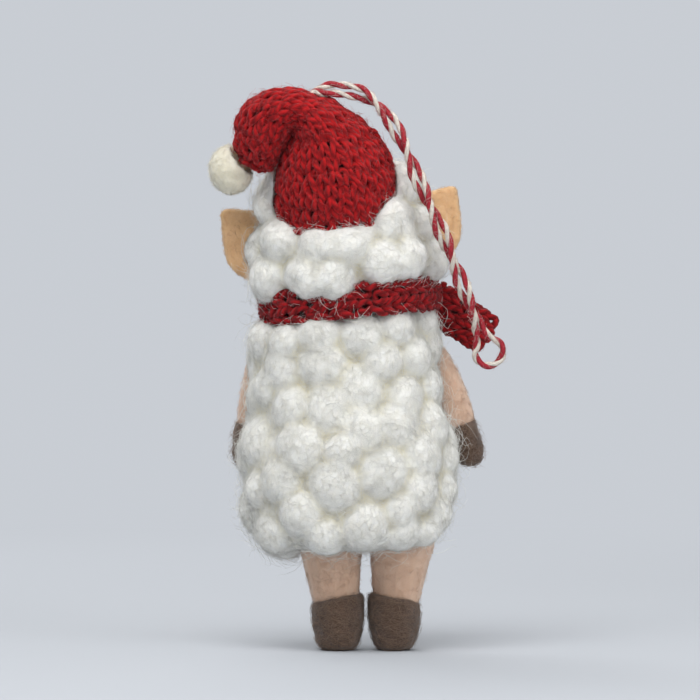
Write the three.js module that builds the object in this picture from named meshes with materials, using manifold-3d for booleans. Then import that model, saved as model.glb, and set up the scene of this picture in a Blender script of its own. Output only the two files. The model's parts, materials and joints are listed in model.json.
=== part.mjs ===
// A needle-felted sheep ornament in a knitted hat and scarf, with a twine loop to hang it by.
// It stands upright: +Z is up, the sheep faces -Y and its left side is on +X. Sizes are in millimetres.
// The origin is on the floor, under the middle of the ornament without its hanging loop.
import * as THREE from "three";
import { mergeVertices } from "three/addons/utils/BufferGeometryUtils.js";
import Module from "manifold-3d";

const wasm = await Module();
wasm.setup();
const { lerp, smoothstep, degToRad } = THREE.MathUtils;

// Fits
const GAP = 0.3; // between two pieces that touch
const SWING_GAP = 0.5; // added to GAP in a hollow that a moving piece turns in

// Legs and their hooves
const HOOF_HALF_WIDTH = 5.3;
const HOOF_HALF_DEPTH = 6.8;
const HOOF_HEIGHT = 10.6;
const HOOF_ROUND = 2; // rounding of the sole's edge and of the rim
const HOOF_FORWARD = 1; // how far the hooves stand in front of the hips
const HOOF_PARTING = 0.6; // gap between the two hooves
const LEG_LENGTH = 24; // floor to hip
const LEG_SEAT = 4; // how far a leg's straight part reaches into its hoof
const HIP_RADIUS = 7;
const HIP_PARTING = 0.8; // gap between the two hips
const ANKLE_RADIUS = 4.1;
const LEGS_TO_RIGHT = 3.6; // the pair of legs is felted on off the middle
const LEG_SWING = 20; // degrees each way

// Body: a barrel of fleece over a firm core
const BODY_HEIGHT = 47;
const BODY_HALF_DEPTH = 16;
const BELLY_HALF_WIDTH = 20.2;
const CHEST_HALF_WIDTH = 17.4;
const BODY_SQUARENESS = 6; // higher is more like a cylinder, 2 is an egg
const FLEECE = 5; // thickness of the body's fleece
const HIP_DEPTH = 4.5; // from the fleece's lower edge up to the hips
const BOBBLES = 84; // spread all round, and left out where they meet those of the back
const BOBBLE_RADIUS = 5.5;
const BOBBLE_PROUD = 2.2;
// Bobbles of the back: shares of the half width to the left and of the body's height, and the radius.
const BACK_BOBBLES = [
  [0.98, 0.95, 4.9],
  [0.67, 0.91, 4.2],
  [0.3, 0.94, 4.9],
  [-0.23, 0.92, 4.9],
  [-0.63, 0.94, 4.6],
  [-0.98, 0.96, 4.2],
  [0.27, 0.8, 5.5],
  [-0.42, 0.8, 4.9],
  [-0.81, 0.81, 4.9],
  [0.72, 0.78, 5.1],
  [0.93, 0.7, 4.6],
  [-0.16, 0.69, 5.8],
  [0.19, 0.61, 6.2],
  [-0.64, 0.66, 5.1],
  [-0.94, 0.7, 4.0],
  [0.61, 0.62, 5.1],
  [0.96, 0.47, 5.5],
  [0.47, 0.45, 6.0],
  [-0.15, 0.53, 5.8],
  [-0.53, 0.55, 5.8],
  [-0.9, 0.54, 5.5],
  [0.05, 0.43, 4.6],
  [0.67, 0.3, 5.1],
  [0.13, 0.29, 5.8],
  [-0.35, 0.34, 5.8],
  [-0.74, 0.41, 5.8],
  [-0.98, 0.39, 4.0],
  [0.9, 0.26, 4.0],
  [-0.71, 0.26, 5.1],
  [-0.97, 0.26, 4.2],
  [0.48, 0.16, 5.1],
  [-0.53, 0.18, 4.0],
  [-0.91, 0.15, 4.6],
  [0.83, 0.05, 5.1],
  [0.26, 0.05, 4.6],
  [-0.2, 0.09, 5.5],
  [-0.59, 0.07, 4.6],
  [-0.83, 0.08, 4.0],
];

// Arms and their hooves
const SHOULDER_DROP = 8; // from the body's top down to the shoulders
const SHOULDER_SINK = 1.8; // from the chest's side in to the shoulders
const SHOULDER_FORWARD = 5;
const ARM_DROP = 13; // shoulder to wrist, along each axis
const ARM_SPREAD_LEFT = 3.2;
const ARM_SPREAD_RIGHT = 6; // this arm stands out further
const ARM_FORWARD = 2.8;
const SHOULDER_RADIUS = 4;
const WRIST_RADIUS = 3.2;
const HAND_LENGTH = 7;
const HAND_RADIUS = 3.9;
const HAND_SEAT = 2.2; // how far the wrist reaches into the hoof
const ARM_SWING = 25; // degrees forward

// Neck and head
const NECK_LENGTH = 4.5; // between the body's fleece and the head's fleece
const NECK_SEAT = 2; // how far the neck reaches past the fleece into the head and the body
const NECK_HALF_WIDTH = 14.3;
const NECK_HALF_DEPTH = 12;
const HEAD_HALF_WIDTH = 17.6;
const CROWN_HALF_WIDTH = 14;
const HEAD_HALF_DEPTH = 15;
const HEAD_HALF_HEIGHT = 12.4;
const HEAD_SQUARENESS = 6;
const HEAD_TO_LEFT = -0.4;
const HEAD_TILT = 6; // degrees, the left side lower
const HEAD_FLEECE = 4;
const TUFTS = 30; // spread all round, and left out where they meet those of the back
const TUFT_RADIUS = 6.6;
const TUFT_PROUD = 2.2;
// Tufts on the back of the head: shares of the half width to the left and of the height, and the radius.
const BACK_TUFTS = [
  [0.8, 0.46, 5.9],
  [0.96, 0.73, 4.8],
  [0.96, 0.22, 4.6],
  [0.1, 0.39, 7.2],
  [0.45, 0.2, 5.3],
  [0.17, 0.12, 4.6],
  [-0.62, 0.59, 5.8],
  [-0.46, 0.28, 5.8],
  [-0.86, 0.25, 5.5],
  [-0.96, 0.85, 4.4],
  [-0.92, 0.54, 5.0],
  [-0.22, 0.19, 4.8],
  [0.71, 0.19, 4.8],
  [-0.73, 0.12, 4.4],
  [0.52, 0.35, 4.2],
];
const PUFF_ROOM = 0.58; // least distance between two bobbles or tufts, as a share of their two radii

// Face
const FACE_HALF_WIDTH = 9;
const FACE_HALF_DEPTH = 7;
const FACE_HALF_HEIGHT = 10;
const FACE_PROUD = 5.5; // from the head's fleece to the muzzle's front
const FACE_DROP = 1.5; // below the head's middle
const EYE_RADIUS = 1.5;
const EYE_SPACING = 8.4;
const EYE_RISE = 3; // above the face's middle
const NOSE_HALF_WIDTH = 2.6;
const NOSE_HALF_DEPTH = 1.3;
const NOSE_HALF_HEIGHT = 1.7;
const NOSE_DROP = 3.5; // below the face's middle

// Ears, cut from sheet felt
const EAR_LENGTH = 11.6;
const EAR_HEIGHT = 14;
const EAR_THICKNESS = 2.2;
const EAR_SEAT = 5.4; // how far an ear reaches into the head's fleece
const EAR_SWEEP = 14; // degrees forward
const EAR_EDGE = 0.35; // softened edge of the cut felt

// Knitted hat
const HAT_HALF_WIDTH = 12.6;
const HAT_HALF_DEPTH = 14.4;
const HAT_HEIGHT = 24.6;
const BRIM = 1; // straight part at the hat's edge
const HAT_PULL = 7.8; // from the head's top down to the middle of the hat's brim
const HAT_TO_LEFT = 2.6; // from the head's middle
const HAT_BACK = 3.2;
const HAT_LEAN = 9; // degrees to the left
const HAT_TIP_BACK = 24; // degrees
const KNIT = 2; // thickness of the knitted cloth
const TAIL_ROOT_RADIUS = 6.2;
const TAIL_MID_RADIUS = 5.9;
const TAIL_TIP_RADIUS = 3.9;
const TAIL_BELOW_TOP = 3.6; // the fold's middle, below the hat's top
const TAIL_OUT = 5; // the fold's middle, to the left of the hat's axis
const TAIL_BEND = 8.6; // radius of the bend that the tail hangs over in
const TAIL_START = 5; // degrees above the level where the tail leaves the fold
const TAIL_END = 80; // degrees below the level at the tip
const TAIL_FORWARD = 4; // how far the tip lies in front of the fold
const TAIL_LIFT = 40; // degrees
const POMPOM_RADIUS = 4.6;
const POMPOM_OUT = 33; // degrees from the tail's end, away from the hat
const POMPOM_SEAT = 3.2; // how far the tip presses into the pompom

// Knitted scarf
const SCARF_WIDTH = 6.2;
const SCARF_RISE = 1.2; // above the neck's middle
const SCARF_THICKNESS = 3.4;
const SCARF_ROUND = 1.2;
const KNOT_ANGLE = 47; // degrees round the neck from the right side to the front
const KNOT_RADIUS = 5;
const SCARF_END_WIDTH = 9;
const SCARF_END_THICKNESS = 2.6;
const SIDE_END_LENGTH = 11.7;
const SIDE_END_SLOPE = 33; // degrees below the level
const FRONT_END_LENGTH = 23;
const SCARF_END_LIFT = 45; // degrees

// Hanging loop of two-ply twine
const TWINE = 1.8; // diameter
const TWINE_PARTING = 0.5; // gap between the loop's two strands
const STITCH_RADIUS = 1.3; // bunched twine where the loop is sewn on
const STITCH_RISE = 2.4; // from the hat's top to the loop's bend
const STITCH_OUT = 3.2; // where it goes into the hat, to the right of the hat's axis
const STITCH_REACH = 3.6; // from the hat's top to the right, to the loop's bend
const LOOP_TURNS = 2.5; // the strands wind round each other
const EYE_OPENING = 2.8; // radius of the loop's open end, to the middle of the twine
// The middle of the two strands, from the bend at the hat down to the open end, relative to the bend.
const LOOP_RUN = [
  [-3.0, 0.2, 0.0],
  [-5.8, 0.1, -1.4],
  [-9.6, 0.1, -5.4],
  [-13.2, 0.2, -12.4],
  [-16.6, 0.4, -20.6],
  [-20.6, -0.8, -29.4],
  [-24.2, -3.6, -38.4],
  [-27.0, -5.6, -45.4],
  [-28.8, -6.8, -49.8],
];

// Facets
const BARREL_SIDES = 48;
const BARREL_RINGS = 32;
const HEAD_SIDES = 36;
const HEAD_RINGS = 16;
const CORE_SIDES = 16;
const CORE_RINGS = 8;
const LIMB_SIDES = 12;
const LIMB_RINGS = 3;
const DOME_RINGS = 3;
const GOLDEN_ANGLE = Math.PI * (3 - Math.sqrt(5));

const vec = (x, y, z) => new THREE.Vector3(x, y, z);

// Solids: closed geometry in and out of the library that joins and cuts it.
function solidOf(geometry) {
  const bare = geometry.clone();
  bare.deleteAttribute("normal");
  bare.deleteAttribute("uv");
  const merged = mergeVertices(bare, 1e-4);
  return new wasm.Manifold(
    new wasm.Mesh({
      numProp: 3,
      vertProperties: merged.attributes.position.array,
      triVerts: new Uint32Array(merged.index.array),
    }),
  );
}

function geometryOf(solid) {
  const mesh = solid.getMesh();
  const geometry = new THREE.BufferGeometry();
  geometry.setAttribute("position", new THREE.BufferAttribute(mesh.vertProperties, 3));
  geometry.setIndex(new THREE.BufferAttribute(mesh.triVerts, 1));
  geometry.computeVertexNormals();
  return geometry;
}

const joined = (forms) => forms.map(solidOf).reduce((all, form) => all.add(form));

// The form with each cutter taken away.
const cutBy = (form, cutters) => geometryOf(solidOf(form).subtract(joined(cutters)));

// Forms: plain closed shapes. Each takes a growth, so that a neighbour's hollow can be the same shape
// with clearance.
function ellipsoid(centre, halves, grow = 0, sides = 16, rings = 10) {
  const form = new THREE.SphereGeometry(1, sides, rings).rotateX(Math.PI / 2);
  form.scale(halves.x + grow, halves.y + grow, halves.z + grow);
  return form.translate(centre.x, centre.y, centre.z);
}

// A round tapered form along a smooth axis, with domed ends.
function limb(points, radii, grow = 0, rings = LIMB_RINGS) {
  const axis = new THREE.CatmullRomCurve3(points);
  const frames = axis.computeFrenetFrames(rings);
  const radiusAt = (t) => {
    const at = t * (radii.length - 1);
    const k = Math.min(Math.floor(at), radii.length - 2);
    return lerp(radii[k], radii[k + 1], at - k) + grow;
  };
  const stations = [];
  for (let k = DOME_RINGS - 1; k > 0; k--) {
    stations.push({ ring: 0, turn: (-k / DOME_RINGS) * (Math.PI / 2) });
  }
  for (let ring = 0; ring <= rings; ring++) stations.push({ ring, turn: 0 });
  for (let k = 1; k < DOME_RINGS; k++) stations.push({ ring: rings, turn: (k / DOME_RINGS) * (Math.PI / 2) });
  const vertices = [];
  const pole = (ring, sign) => {
    const reach = frames.tangents[ring].clone().multiplyScalar(sign * radiusAt(ring / rings));
    vertices.push(...axis.getPointAt(ring / rings).add(reach));
  };
  pole(0, -1);
  for (const { ring, turn } of stations) {
    const radius = radiusAt(ring / rings);
    const middle = axis.getPointAt(ring / rings);
    middle.addScaledVector(frames.tangents[ring], radius * Math.sin(turn));
    for (let side = 0; side < LIMB_SIDES; side++) {
      const angle = (side / LIMB_SIDES) * 2 * Math.PI;
      const spoke = frames.normals[ring].clone().multiplyScalar(Math.cos(angle) * radius * Math.cos(turn));
      spoke.addScaledVector(frames.binormals[ring], Math.sin(angle) * radius * Math.cos(turn));
      vertices.push(...spoke.add(middle));
    }
  }
  pole(rings, 1);
  const index = [];
  const last = vertices.length / 3 - 1;
  const at = (station, side) => 1 + station * LIMB_SIDES + (side % LIMB_SIDES);
  for (let side = 0; side < LIMB_SIDES; side++) {
    index.push(0, at(0, side + 1), at(0, side));
    for (let k = 0; k < stations.length - 1; k++) {
      index.push(at(k, side), at(k, side + 1), at(k + 1, side));
      index.push(at(k, side + 1), at(k + 1, side + 1), at(k + 1, side));
    }
    index.push(last, at(stations.length - 1, side), at(stations.length - 1, side + 1));
  }
  const form = new THREE.BufferGeometry();
  form.setAttribute("position", new THREE.Float32BufferAttribute(vertices, 3));
  form.setIndex(index);
  return form;
}

// A form turned on an upright axis, from points of radius and height, its depth a ratio of its width.
function turned(profile, depthRatio, sides) {
  const outline = profile.map(([radius, height]) => new THREE.Vector2(radius, height));
  return new THREE.LatheGeometry(outline, sides).rotateX(Math.PI / 2).scale(1, depthRatio, 1);
}

// Points on an arc of a profile, as radius and height.
function arc(radius, height, size, from, to, steps) {
  return Array.from({ length: steps + 1 }, (_, k) => {
    const angle = degToRad(lerp(from, to, k / steps));
    return [radius + size * Math.cos(angle), height + size * Math.sin(angle)];
  });
}

// Raises a soft dome on a form's surface for each puff of wool, a felted bobble or a tuft. Where two domes
// meet they run into each other.
function puffed(form, puffs, proud) {
  form.deleteAttribute("normal");
  form.deleteAttribute("uv");
  const merged = mergeVertices(form, 1e-4);
  merged.computeVertexNormals();
  const position = merged.attributes.position;
  const point = vec(0, 0, 0);
  const normal = vec(0, 0, 0);
  for (let k = 0; k < position.count; k++) {
    point.fromBufferAttribute(position, k);
    normal.fromBufferAttribute(merged.attributes.normal, k);
    const domes = puffs.map(({ centre, radius }) => {
      const away = centre.distanceTo(point) / radius;
      return Math.max(0, 1 - away * away);
    });
    point.addScaledVector(normal, proud * Math.cbrt(domes.reduce((sum, dome) => sum + dome ** 3, 0)));
    position.setXYZ(k, point.x, point.y, point.z);
  }
  return merged;
}

// The same form at steps across a swing about an axis through its pivot.
function swept(form, pivot, axis, degrees, steps) {
  return Array.from({ length: steps + 1 }, (_, k) => {
    const turn = new THREE.Matrix4().makeRotationAxis(axis, degToRad((degrees * k) / steps));
    const about = new THREE.Matrix4().makeTranslation(pivot).multiply(turn);
    return form.clone().applyMatrix4(about);
  });
}

// A hanging limb's form with room to swing about its pivot: deeper front and back the further down it is.
function swingRoom(form, pivot, radius, lean, forwards, backwards) {
  const position = form.attributes.position;
  for (let k = 0; k < position.count; k++) {
    const drop = Math.max(0, -position.getZ(k));
    const off = (position.getY(k) + lean * drop) / radius;
    const swing = Math.tan(degToRad(off < 0 ? forwards : backwards));
    position.setY(k, position.getY(k) + drop * swing * off);
  }
  return form.translate(pivot.x, pivot.y, pivot.z);
}

// Places
const hipHeight = LEG_LENGTH;
const bodyBottom = hipHeight - HIP_DEPTH;
const bodyTop = bodyBottom + BODY_HEIGHT;
const headCentre = vec(HEAD_TO_LEFT, 0, bodyTop + NECK_LENGTH + HEAD_HALF_HEIGHT);
const neckMiddle = vec(HEAD_TO_LEFT, 0, bodyTop + NECK_LENGTH / 2);
const back = vec(0, 1, 0);

// The head, its face, ears and neck and the scarf all lean together about the neck.
function onHead(form) {
  form.translate(-neckMiddle.x, -neckMiddle.y, -neckMiddle.z).rotateY(degToRad(HEAD_TILT));
  return form.translate(neckMiddle.x, neckMiddle.y, neckMiddle.z);
}

// How full a barrel is at a share of its height: higher squareness is more like a cylinder.
const barrel = (share, squareness) =>
  Math.pow(1 - Math.pow(Math.abs(2 * share - 1), squareness), 1 / squareness);

// A closed barrel between two heights, its half width given for each share of the height.
function barrelForm(halfWidth, bottom, top, depthRatio, grow, sides, rings) {
  const profile = Array.from({ length: rings + 1 }, (_, k) => {
    const share = (1 - Math.cos((k / rings) * Math.PI)) / 2;
    const radius = k === 0 || k === rings ? 0 : halfWidth(share) + grow;
    return [radius, lerp(bottom - grow, top + grow, share)];
  });
  return turned(profile, depthRatio, sides);
}

// Puffs of wool on a barrel: the listed ones on its back, and others spread all round where there is room.
function puffsOn(halfWidth, bottom, top, depthRatio, listed, count, radius) {
  const puff = (share, angle, size) => {
    const across = halfWidth(share) * Math.cos(angle);
    const deep = halfWidth(share) * depthRatio * Math.sin(angle);
    return { centre: vec(across, deep, lerp(bottom, top, share)), radius: size };
  };
  const onBack = listed.map(([across, share, size]) => puff(share, Math.acos(across), size));
  const spread = Array.from({ length: count }, (_, k) => puff((k + 0.5) / count, k * GOLDEN_ANGLE, radius));
  const clear = (a, b) => a.centre.distanceTo(b.centre) > PUFF_ROOM * (a.radius + b.radius);
  return [...onBack, ...spread.filter((one) => onBack.every((other) => clear(one, other)))];
}

// Body
const bodyDepthRatio = BODY_HALF_DEPTH / BELLY_HALF_WIDTH;
const bodyHalfWidth = (share) =>
  lerp(BELLY_HALF_WIDTH, CHEST_HALF_WIDTH, smoothstep(share, 0.35, 1)) * barrel(share, BODY_SQUARENESS);

const bodyShape = [bodyHalfWidth, bodyBottom, bodyTop, bodyDepthRatio];
const bodyForm = (grow) => barrelForm(...bodyShape, grow, CORE_SIDES, CORE_RINGS);

// The body's fleece, its top leaning with the neck.
function bodyFleeceForm() {
  const bobbles = puffsOn(...bodyShape, BACK_BOBBLES, BOBBLES, BOBBLE_RADIUS);
  const form = puffed(barrelForm(...bodyShape, 0, BARREL_SIDES, BARREL_RINGS), bobbles, BOBBLE_PROUD);
  const position = form.attributes.position;
  for (let k = 0; k < position.count; k++) {
    const height = position.getZ(k);
    const lean = Math.tan(degToRad(HEAD_TILT)) * smoothstep(height, lerp(bodyBottom, bodyTop, 0.6), bodyTop);
    position.setZ(k, height - lean * position.getX(k));
  }
  return form;
}

// Head and neck
const headHalfWidth = (share) =>
  lerp(HEAD_HALF_WIDTH, CROWN_HALF_WIDTH, smoothstep(share, 0.2, 0.95)) * barrel(share, HEAD_SQUARENESS);
const headDepthRatio = HEAD_HALF_DEPTH / HEAD_HALF_WIDTH;

const headShape = [headHalfWidth, -HEAD_HALF_HEIGHT, HEAD_HALF_HEIGHT, headDepthRatio];
const atHead = (form) => onHead(form.translate(headCentre.x, headCentre.y, headCentre.z));
const headForm = (grow) => atHead(barrelForm(...headShape, grow, CORE_SIDES, CORE_RINGS));

function headFleeceForm() {
  const tufts = puffsOn(...headShape, BACK_TUFTS, TUFTS, TUFT_RADIUS);
  return atHead(puffed(barrelForm(...headShape, 0, HEAD_SIDES, HEAD_RINGS), tufts, TUFT_PROUD));
}

function neckForm(grow) {
  const halfLength = NECK_LENGTH / 2 + FLEECE + NECK_SEAT + grow;
  const radius = NECK_HALF_WIDTH + grow;
  const profile = [
    [0, -halfLength],
    [radius, -halfLength],
    [radius, halfLength],
    [0, halfLength],
  ];
  const depthRatio = (NECK_HALF_DEPTH + grow) / radius;
  return onHead(turned(profile, depthRatio, CORE_SIDES).translate(neckMiddle.x, neckMiddle.y, neckMiddle.z));
}

// Face
const faceCentre = vec(0, -(HEAD_HALF_DEPTH + FACE_PROUD - FACE_HALF_DEPTH), -FACE_DROP).add(headCentre);
const faceHalves = vec(FACE_HALF_WIDTH, FACE_HALF_DEPTH, FACE_HALF_HEIGHT);
const faceForm = (grow) => onHead(ellipsoid(faceCentre, faceHalves, grow));

// A point on the front of the face.
function onFace(x, z) {
  const rest = 1 - (x / FACE_HALF_WIDTH) ** 2 - (z / FACE_HALF_HEIGHT) ** 2;
  return vec(x, -FACE_HALF_DEPTH * Math.sqrt(rest), z).add(faceCentre);
}

function eyeForm(side, grow) {
  const halves = vec(EYE_RADIUS, EYE_RADIUS, EYE_RADIUS);
  return onHead(ellipsoid(onFace((side * EYE_SPACING) / 2, EYE_RISE), halves, grow, 10, 6));
}

function noseForm(grow) {
  const halves = vec(NOSE_HALF_WIDTH, NOSE_HALF_DEPTH, NOSE_HALF_HEIGHT);
  return onHead(ellipsoid(onFace(0, -NOSE_DROP), halves, grow, 10, 6));
}

// Ears: the outline as seen from behind, its root inside the head's fleece.
function earForm(side, grow) {
  const half = EAR_HEIGHT / 2 + grow;
  const root = -side * grow;
  const tip = side * (EAR_LENGTH + grow);
  const corner = EAR_HEIGHT / 8;
  const outline = new THREE.Shape();
  outline.moveTo(root, half - corner);
  outline.lineTo(tip - (side * corner) / 2, half);
  outline.quadraticCurveTo(tip, half, tip, half - corner / 2);
  outline.lineTo(tip, -half / 6);
  outline.quadraticCurveTo(tip, corner - half, tip - side * 2.3 * corner, -half);
  outline.lineTo(root, corner - half);
  const form = new THREE.ExtrudeGeometry(outline, {
    depth: EAR_THICKNESS + 2 * grow - 2 * EAR_EDGE,
    bevelThickness: EAR_EDGE,
    bevelSize: EAR_EDGE,
    bevelOffset: -EAR_EDGE,
    bevelSegments: 1,
    curveSegments: 3,
  });
  form.translate(0, 0, EAR_EDGE - EAR_THICKNESS / 2 - grow).rotateX(Math.PI / 2);
  form.rotateZ(degToRad(-side * EAR_SWEEP));
  const rootX = headCentre.x + side * (HEAD_HALF_WIDTH - EAR_SEAT);
  return onHead(form.translate(rootX, headCentre.y, headCentre.z));
}

// Legs: each form is about its hip.
const hip = (side) => vec(side * (HIP_RADIUS + HIP_PARTING / 2) - LEGS_TO_RIGHT, 0, hipHeight);
const hoofCentre = (side) =>
  vec(side * (HOOF_HALF_WIDTH + HOOF_PARTING / 2) - LEGS_TO_RIGHT, -HOOF_FORWARD, 0);

function legForm(side, grow) {
  const ankle = hoofCentre(side).setZ(HOOF_HEIGHT - LEG_SEAT).sub(hip(side));
  return limb([vec(0, 0, 0), ankle], [HIP_RADIUS, ANKLE_RADIUS], grow);
}

function hoofForm(side) {
  const straight = HOOF_HALF_WIDTH - HOOF_ROUND;
  const profile = [
    [0, 0],
    ...arc(straight, HOOF_ROUND, HOOF_ROUND, -90, 0, 2),
    ...arc(straight, HOOF_HEIGHT - HOOF_ROUND, HOOF_ROUND, 0, 90, 2),
    [0, HOOF_HEIGHT],
  ];
  const foot = hoofCentre(side).sub(hip(side));
  return turned(profile, HOOF_HALF_DEPTH / HOOF_HALF_WIDTH, CORE_SIDES).translate(foot.x, foot.y, foot.z);
}

// Arms: each form is about its shoulder.
const shoulderShare = 1 - SHOULDER_DROP / BODY_HEIGHT;
const shoulder = (side) =>
  vec(side * (CHEST_HALF_WIDTH - SHOULDER_SINK), -SHOULDER_FORWARD, lerp(bodyBottom, bodyTop, shoulderShare));
const wrist = (side) => vec(side > 0 ? ARM_SPREAD_LEFT : -ARM_SPREAD_RIGHT, -ARM_FORWARD, -ARM_DROP);
const armForm = (side, grow) => limb([vec(0, 0, 0), wrist(side)], [SHOULDER_RADIUS, WRIST_RADIUS], grow);

function handForm(side) {
  const along = wrist(side).normalize();
  const from = wrist(side).addScaledVector(along, HAND_RADIUS - HAND_SEAT);
  const to = wrist(side).addScaledVector(along, HAND_LENGTH + HAND_RADIUS / 2 - HAND_SEAT);
  return limb([from, to], [HAND_RADIUS, HAND_RADIUS * 0.8]);
}

// The arm with its hoof, as one form.
function reachForm(side, grow) {
  const reach = wrist(side).setLength(wrist(side).length() + HAND_LENGTH + HAND_RADIUS / 2 - HAND_SEAT);
  return limb([vec(0, 0, 0), reach], [SHOULDER_RADIUS, HAND_RADIUS], grow);
}

// Hat: the crown's forms are about its base, leaning to the left and back.
const hatFrame = new THREE.Matrix4()
  .makeTranslation(
    headCentre.x + HAT_TO_LEFT,
    headCentre.y + HAT_BACK,
    headCentre.z + HEAD_HALF_HEIGHT - HAT_PULL,
  )
  .multiply(new THREE.Matrix4().makeRotationY(degToRad(HAT_LEAN)))
  .multiply(new THREE.Matrix4().makeRotationX(degToRad(-HAT_TIP_BACK)));

// A tall dome on the brim, carried on below it by a straight part.
function domeForm(grow, below) {
  const height = HAT_HEIGHT + grow;
  const radius = HAT_HALF_WIDTH + grow;
  const rings = 7;
  const dome = Array.from({ length: rings + 1 }, (_, k) => {
    const angle = (k / rings) * (Math.PI / 2);
    return [k === rings ? 0 : radius * Math.cos(angle) ** 0.85, height * Math.sin(angle)];
  });
  const profile = [[0, -below], [radius, -below], ...dome];
  return turned(profile, (HAT_HALF_DEPTH + grow) / radius, 22).applyMatrix4(hatFrame);
}

// Hat tail: its form is about the fold.
const fold = vec(TAIL_OUT, 0, HAT_HEIGHT - TAIL_BELOW_TOP).applyMatrix4(hatFrame);

// A place along the tail's middle, from 0 at the fold to 1 at the tip's middle, and past it.
function alongTail(share) {
  const from = degToRad(TAIL_START);
  const heading = degToRad(lerp(TAIL_START, -TAIL_END, share));
  const reach = TAIL_BEND * (Math.sin(from) - Math.sin(heading));
  const rise = TAIL_BEND * (Math.cos(heading) - Math.cos(from));
  return vec(reach, -TAIL_FORWARD * share, rise);
}

function tailForm(grow) {
  const points = Array.from({ length: 6 }, (_, k) => alongTail(k / 5));
  return limb(points, [TAIL_ROOT_RADIUS, TAIL_MID_RADIUS, TAIL_TIP_RADIUS], grow, 6);
}

function pompomForm() {
  const tip = alongTail(1);
  const along = tip.clone().sub(alongTail(0.85)).normalize();
  const out = along.applyAxisAngle(back, degToRad(-POMPOM_OUT));
  const centre = tip.addScaledVector(out, TAIL_TIP_RADIUS + POMPOM_RADIUS - POMPOM_SEAT);
  return ellipsoid(centre, vec(POMPOM_RADIUS, POMPOM_RADIUS, POMPOM_RADIUS), 0, 14, 9);
}

// Scarf
const scarfInside = NECK_HALF_WIDTH + GAP;

function scarfForm(grow) {
  const inner = scarfInside - grow;
  const outer = scarfInside + SCARF_THICKNESS + grow;
  const half = SCARF_WIDTH / 2 + grow;
  const profile = [
    ...arc(outer - SCARF_ROUND, half - SCARF_ROUND, SCARF_ROUND, 0, 90, 1),
    ...arc(inner + SCARF_ROUND, half - SCARF_ROUND, SCARF_ROUND, 90, 180, 1),
    ...arc(inner + SCARF_ROUND, SCARF_ROUND - half, SCARF_ROUND, 180, 270, 1),
    ...arc(outer - SCARF_ROUND, SCARF_ROUND - half, SCARF_ROUND, 270, 360, 1),
  ];
  profile[profile.length - 1] = profile[0];
  const depthRatio = (NECK_HALF_DEPTH + GAP) / scarfInside;
  const band = turned(profile, depthRatio, 28).translate(0, 0, SCARF_RISE);
  return onHead(band.translate(neckMiddle.x, neckMiddle.y, neckMiddle.z));
}

// A place round the neck, at a distance out from the scarf's face, turned from the right side to the front.
function roundNeck(angle, out, rise) {
  const x = (scarfInside + SCARF_THICKNESS + out) * Math.cos(degToRad(angle));
  const y = (NECK_HALF_DEPTH + GAP + SCARF_THICKNESS + out) * Math.sin(degToRad(angle));
  const upright = vec(-x, -y, SCARF_RISE + rise).add(neckMiddle);
  const place = onHead(new THREE.BufferGeometry().setFromPoints([upright]));
  return vec(0, 0, 0).fromBufferAttribute(place.attributes.position, 0);
}

const knotCentre = roundNeck(KNOT_ANGLE, KNOT_RADIUS * 0.35, -1);
const knotForm = (grow) => ellipsoid(knotCentre, vec(KNOT_RADIUS, KNOT_RADIUS, KNOT_RADIUS), grow, 14, 9);

// A scarf end hangs from a round root on its pivot, its width along X, and is then turned to its place.
function scarfEnd(length, grow) {
  const round = SCARF_END_THICKNESS / 2 + grow;
  const outline = new THREE.Shape();
  outline.absarc(0, 0, round, 0, Math.PI, false);
  outline.lineTo(-round, -length - grow);
  outline.lineTo(round, -length - grow);
  const form = new THREE.ExtrudeGeometry(outline, {
    depth: SCARF_END_WIDTH + 2 * grow,
    bevelEnabled: false,
    curveSegments: 6,
  });
  form.translate(0, 0, -SCARF_END_WIDTH / 2 - grow);
  // The outline's thickness lies along Y, its length along Z and the width along X.
  return form.applyMatrix4(new THREE.Matrix4().makeBasis(vec(0, 1, 0), vec(0, 0, 1), vec(1, 0, 0)));
}

const sideEndRoot = knotCentre.clone().add(vec(-KNOT_RADIUS * 0.8, 0, -KNOT_RADIUS * 0.1));
const sideEndForm = (grow) => scarfEnd(SIDE_END_LENGTH, grow).rotateY(degToRad(90 - SIDE_END_SLOPE));
const sideEndAxis = vec(-1, 0, 0).applyAxisAngle(back, degToRad(90 - SIDE_END_SLOPE));
const frontEndRoot = knotCentre.clone().add(vec(KNOT_RADIUS * 0.7, -KNOT_RADIUS * 0.5, -KNOT_RADIUS * 0.9));
const frontEndForm = (grow) => scarfEnd(FRONT_END_LENGTH, grow);

// Hanging loop: its form is about the bend above the hat.
const hatTop = vec(0, 0, HAT_HEIGHT).applyMatrix4(hatFrame);
const bend = hatTop.clone().add(vec(-STITCH_REACH, 0, STITCH_RISE));

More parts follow.
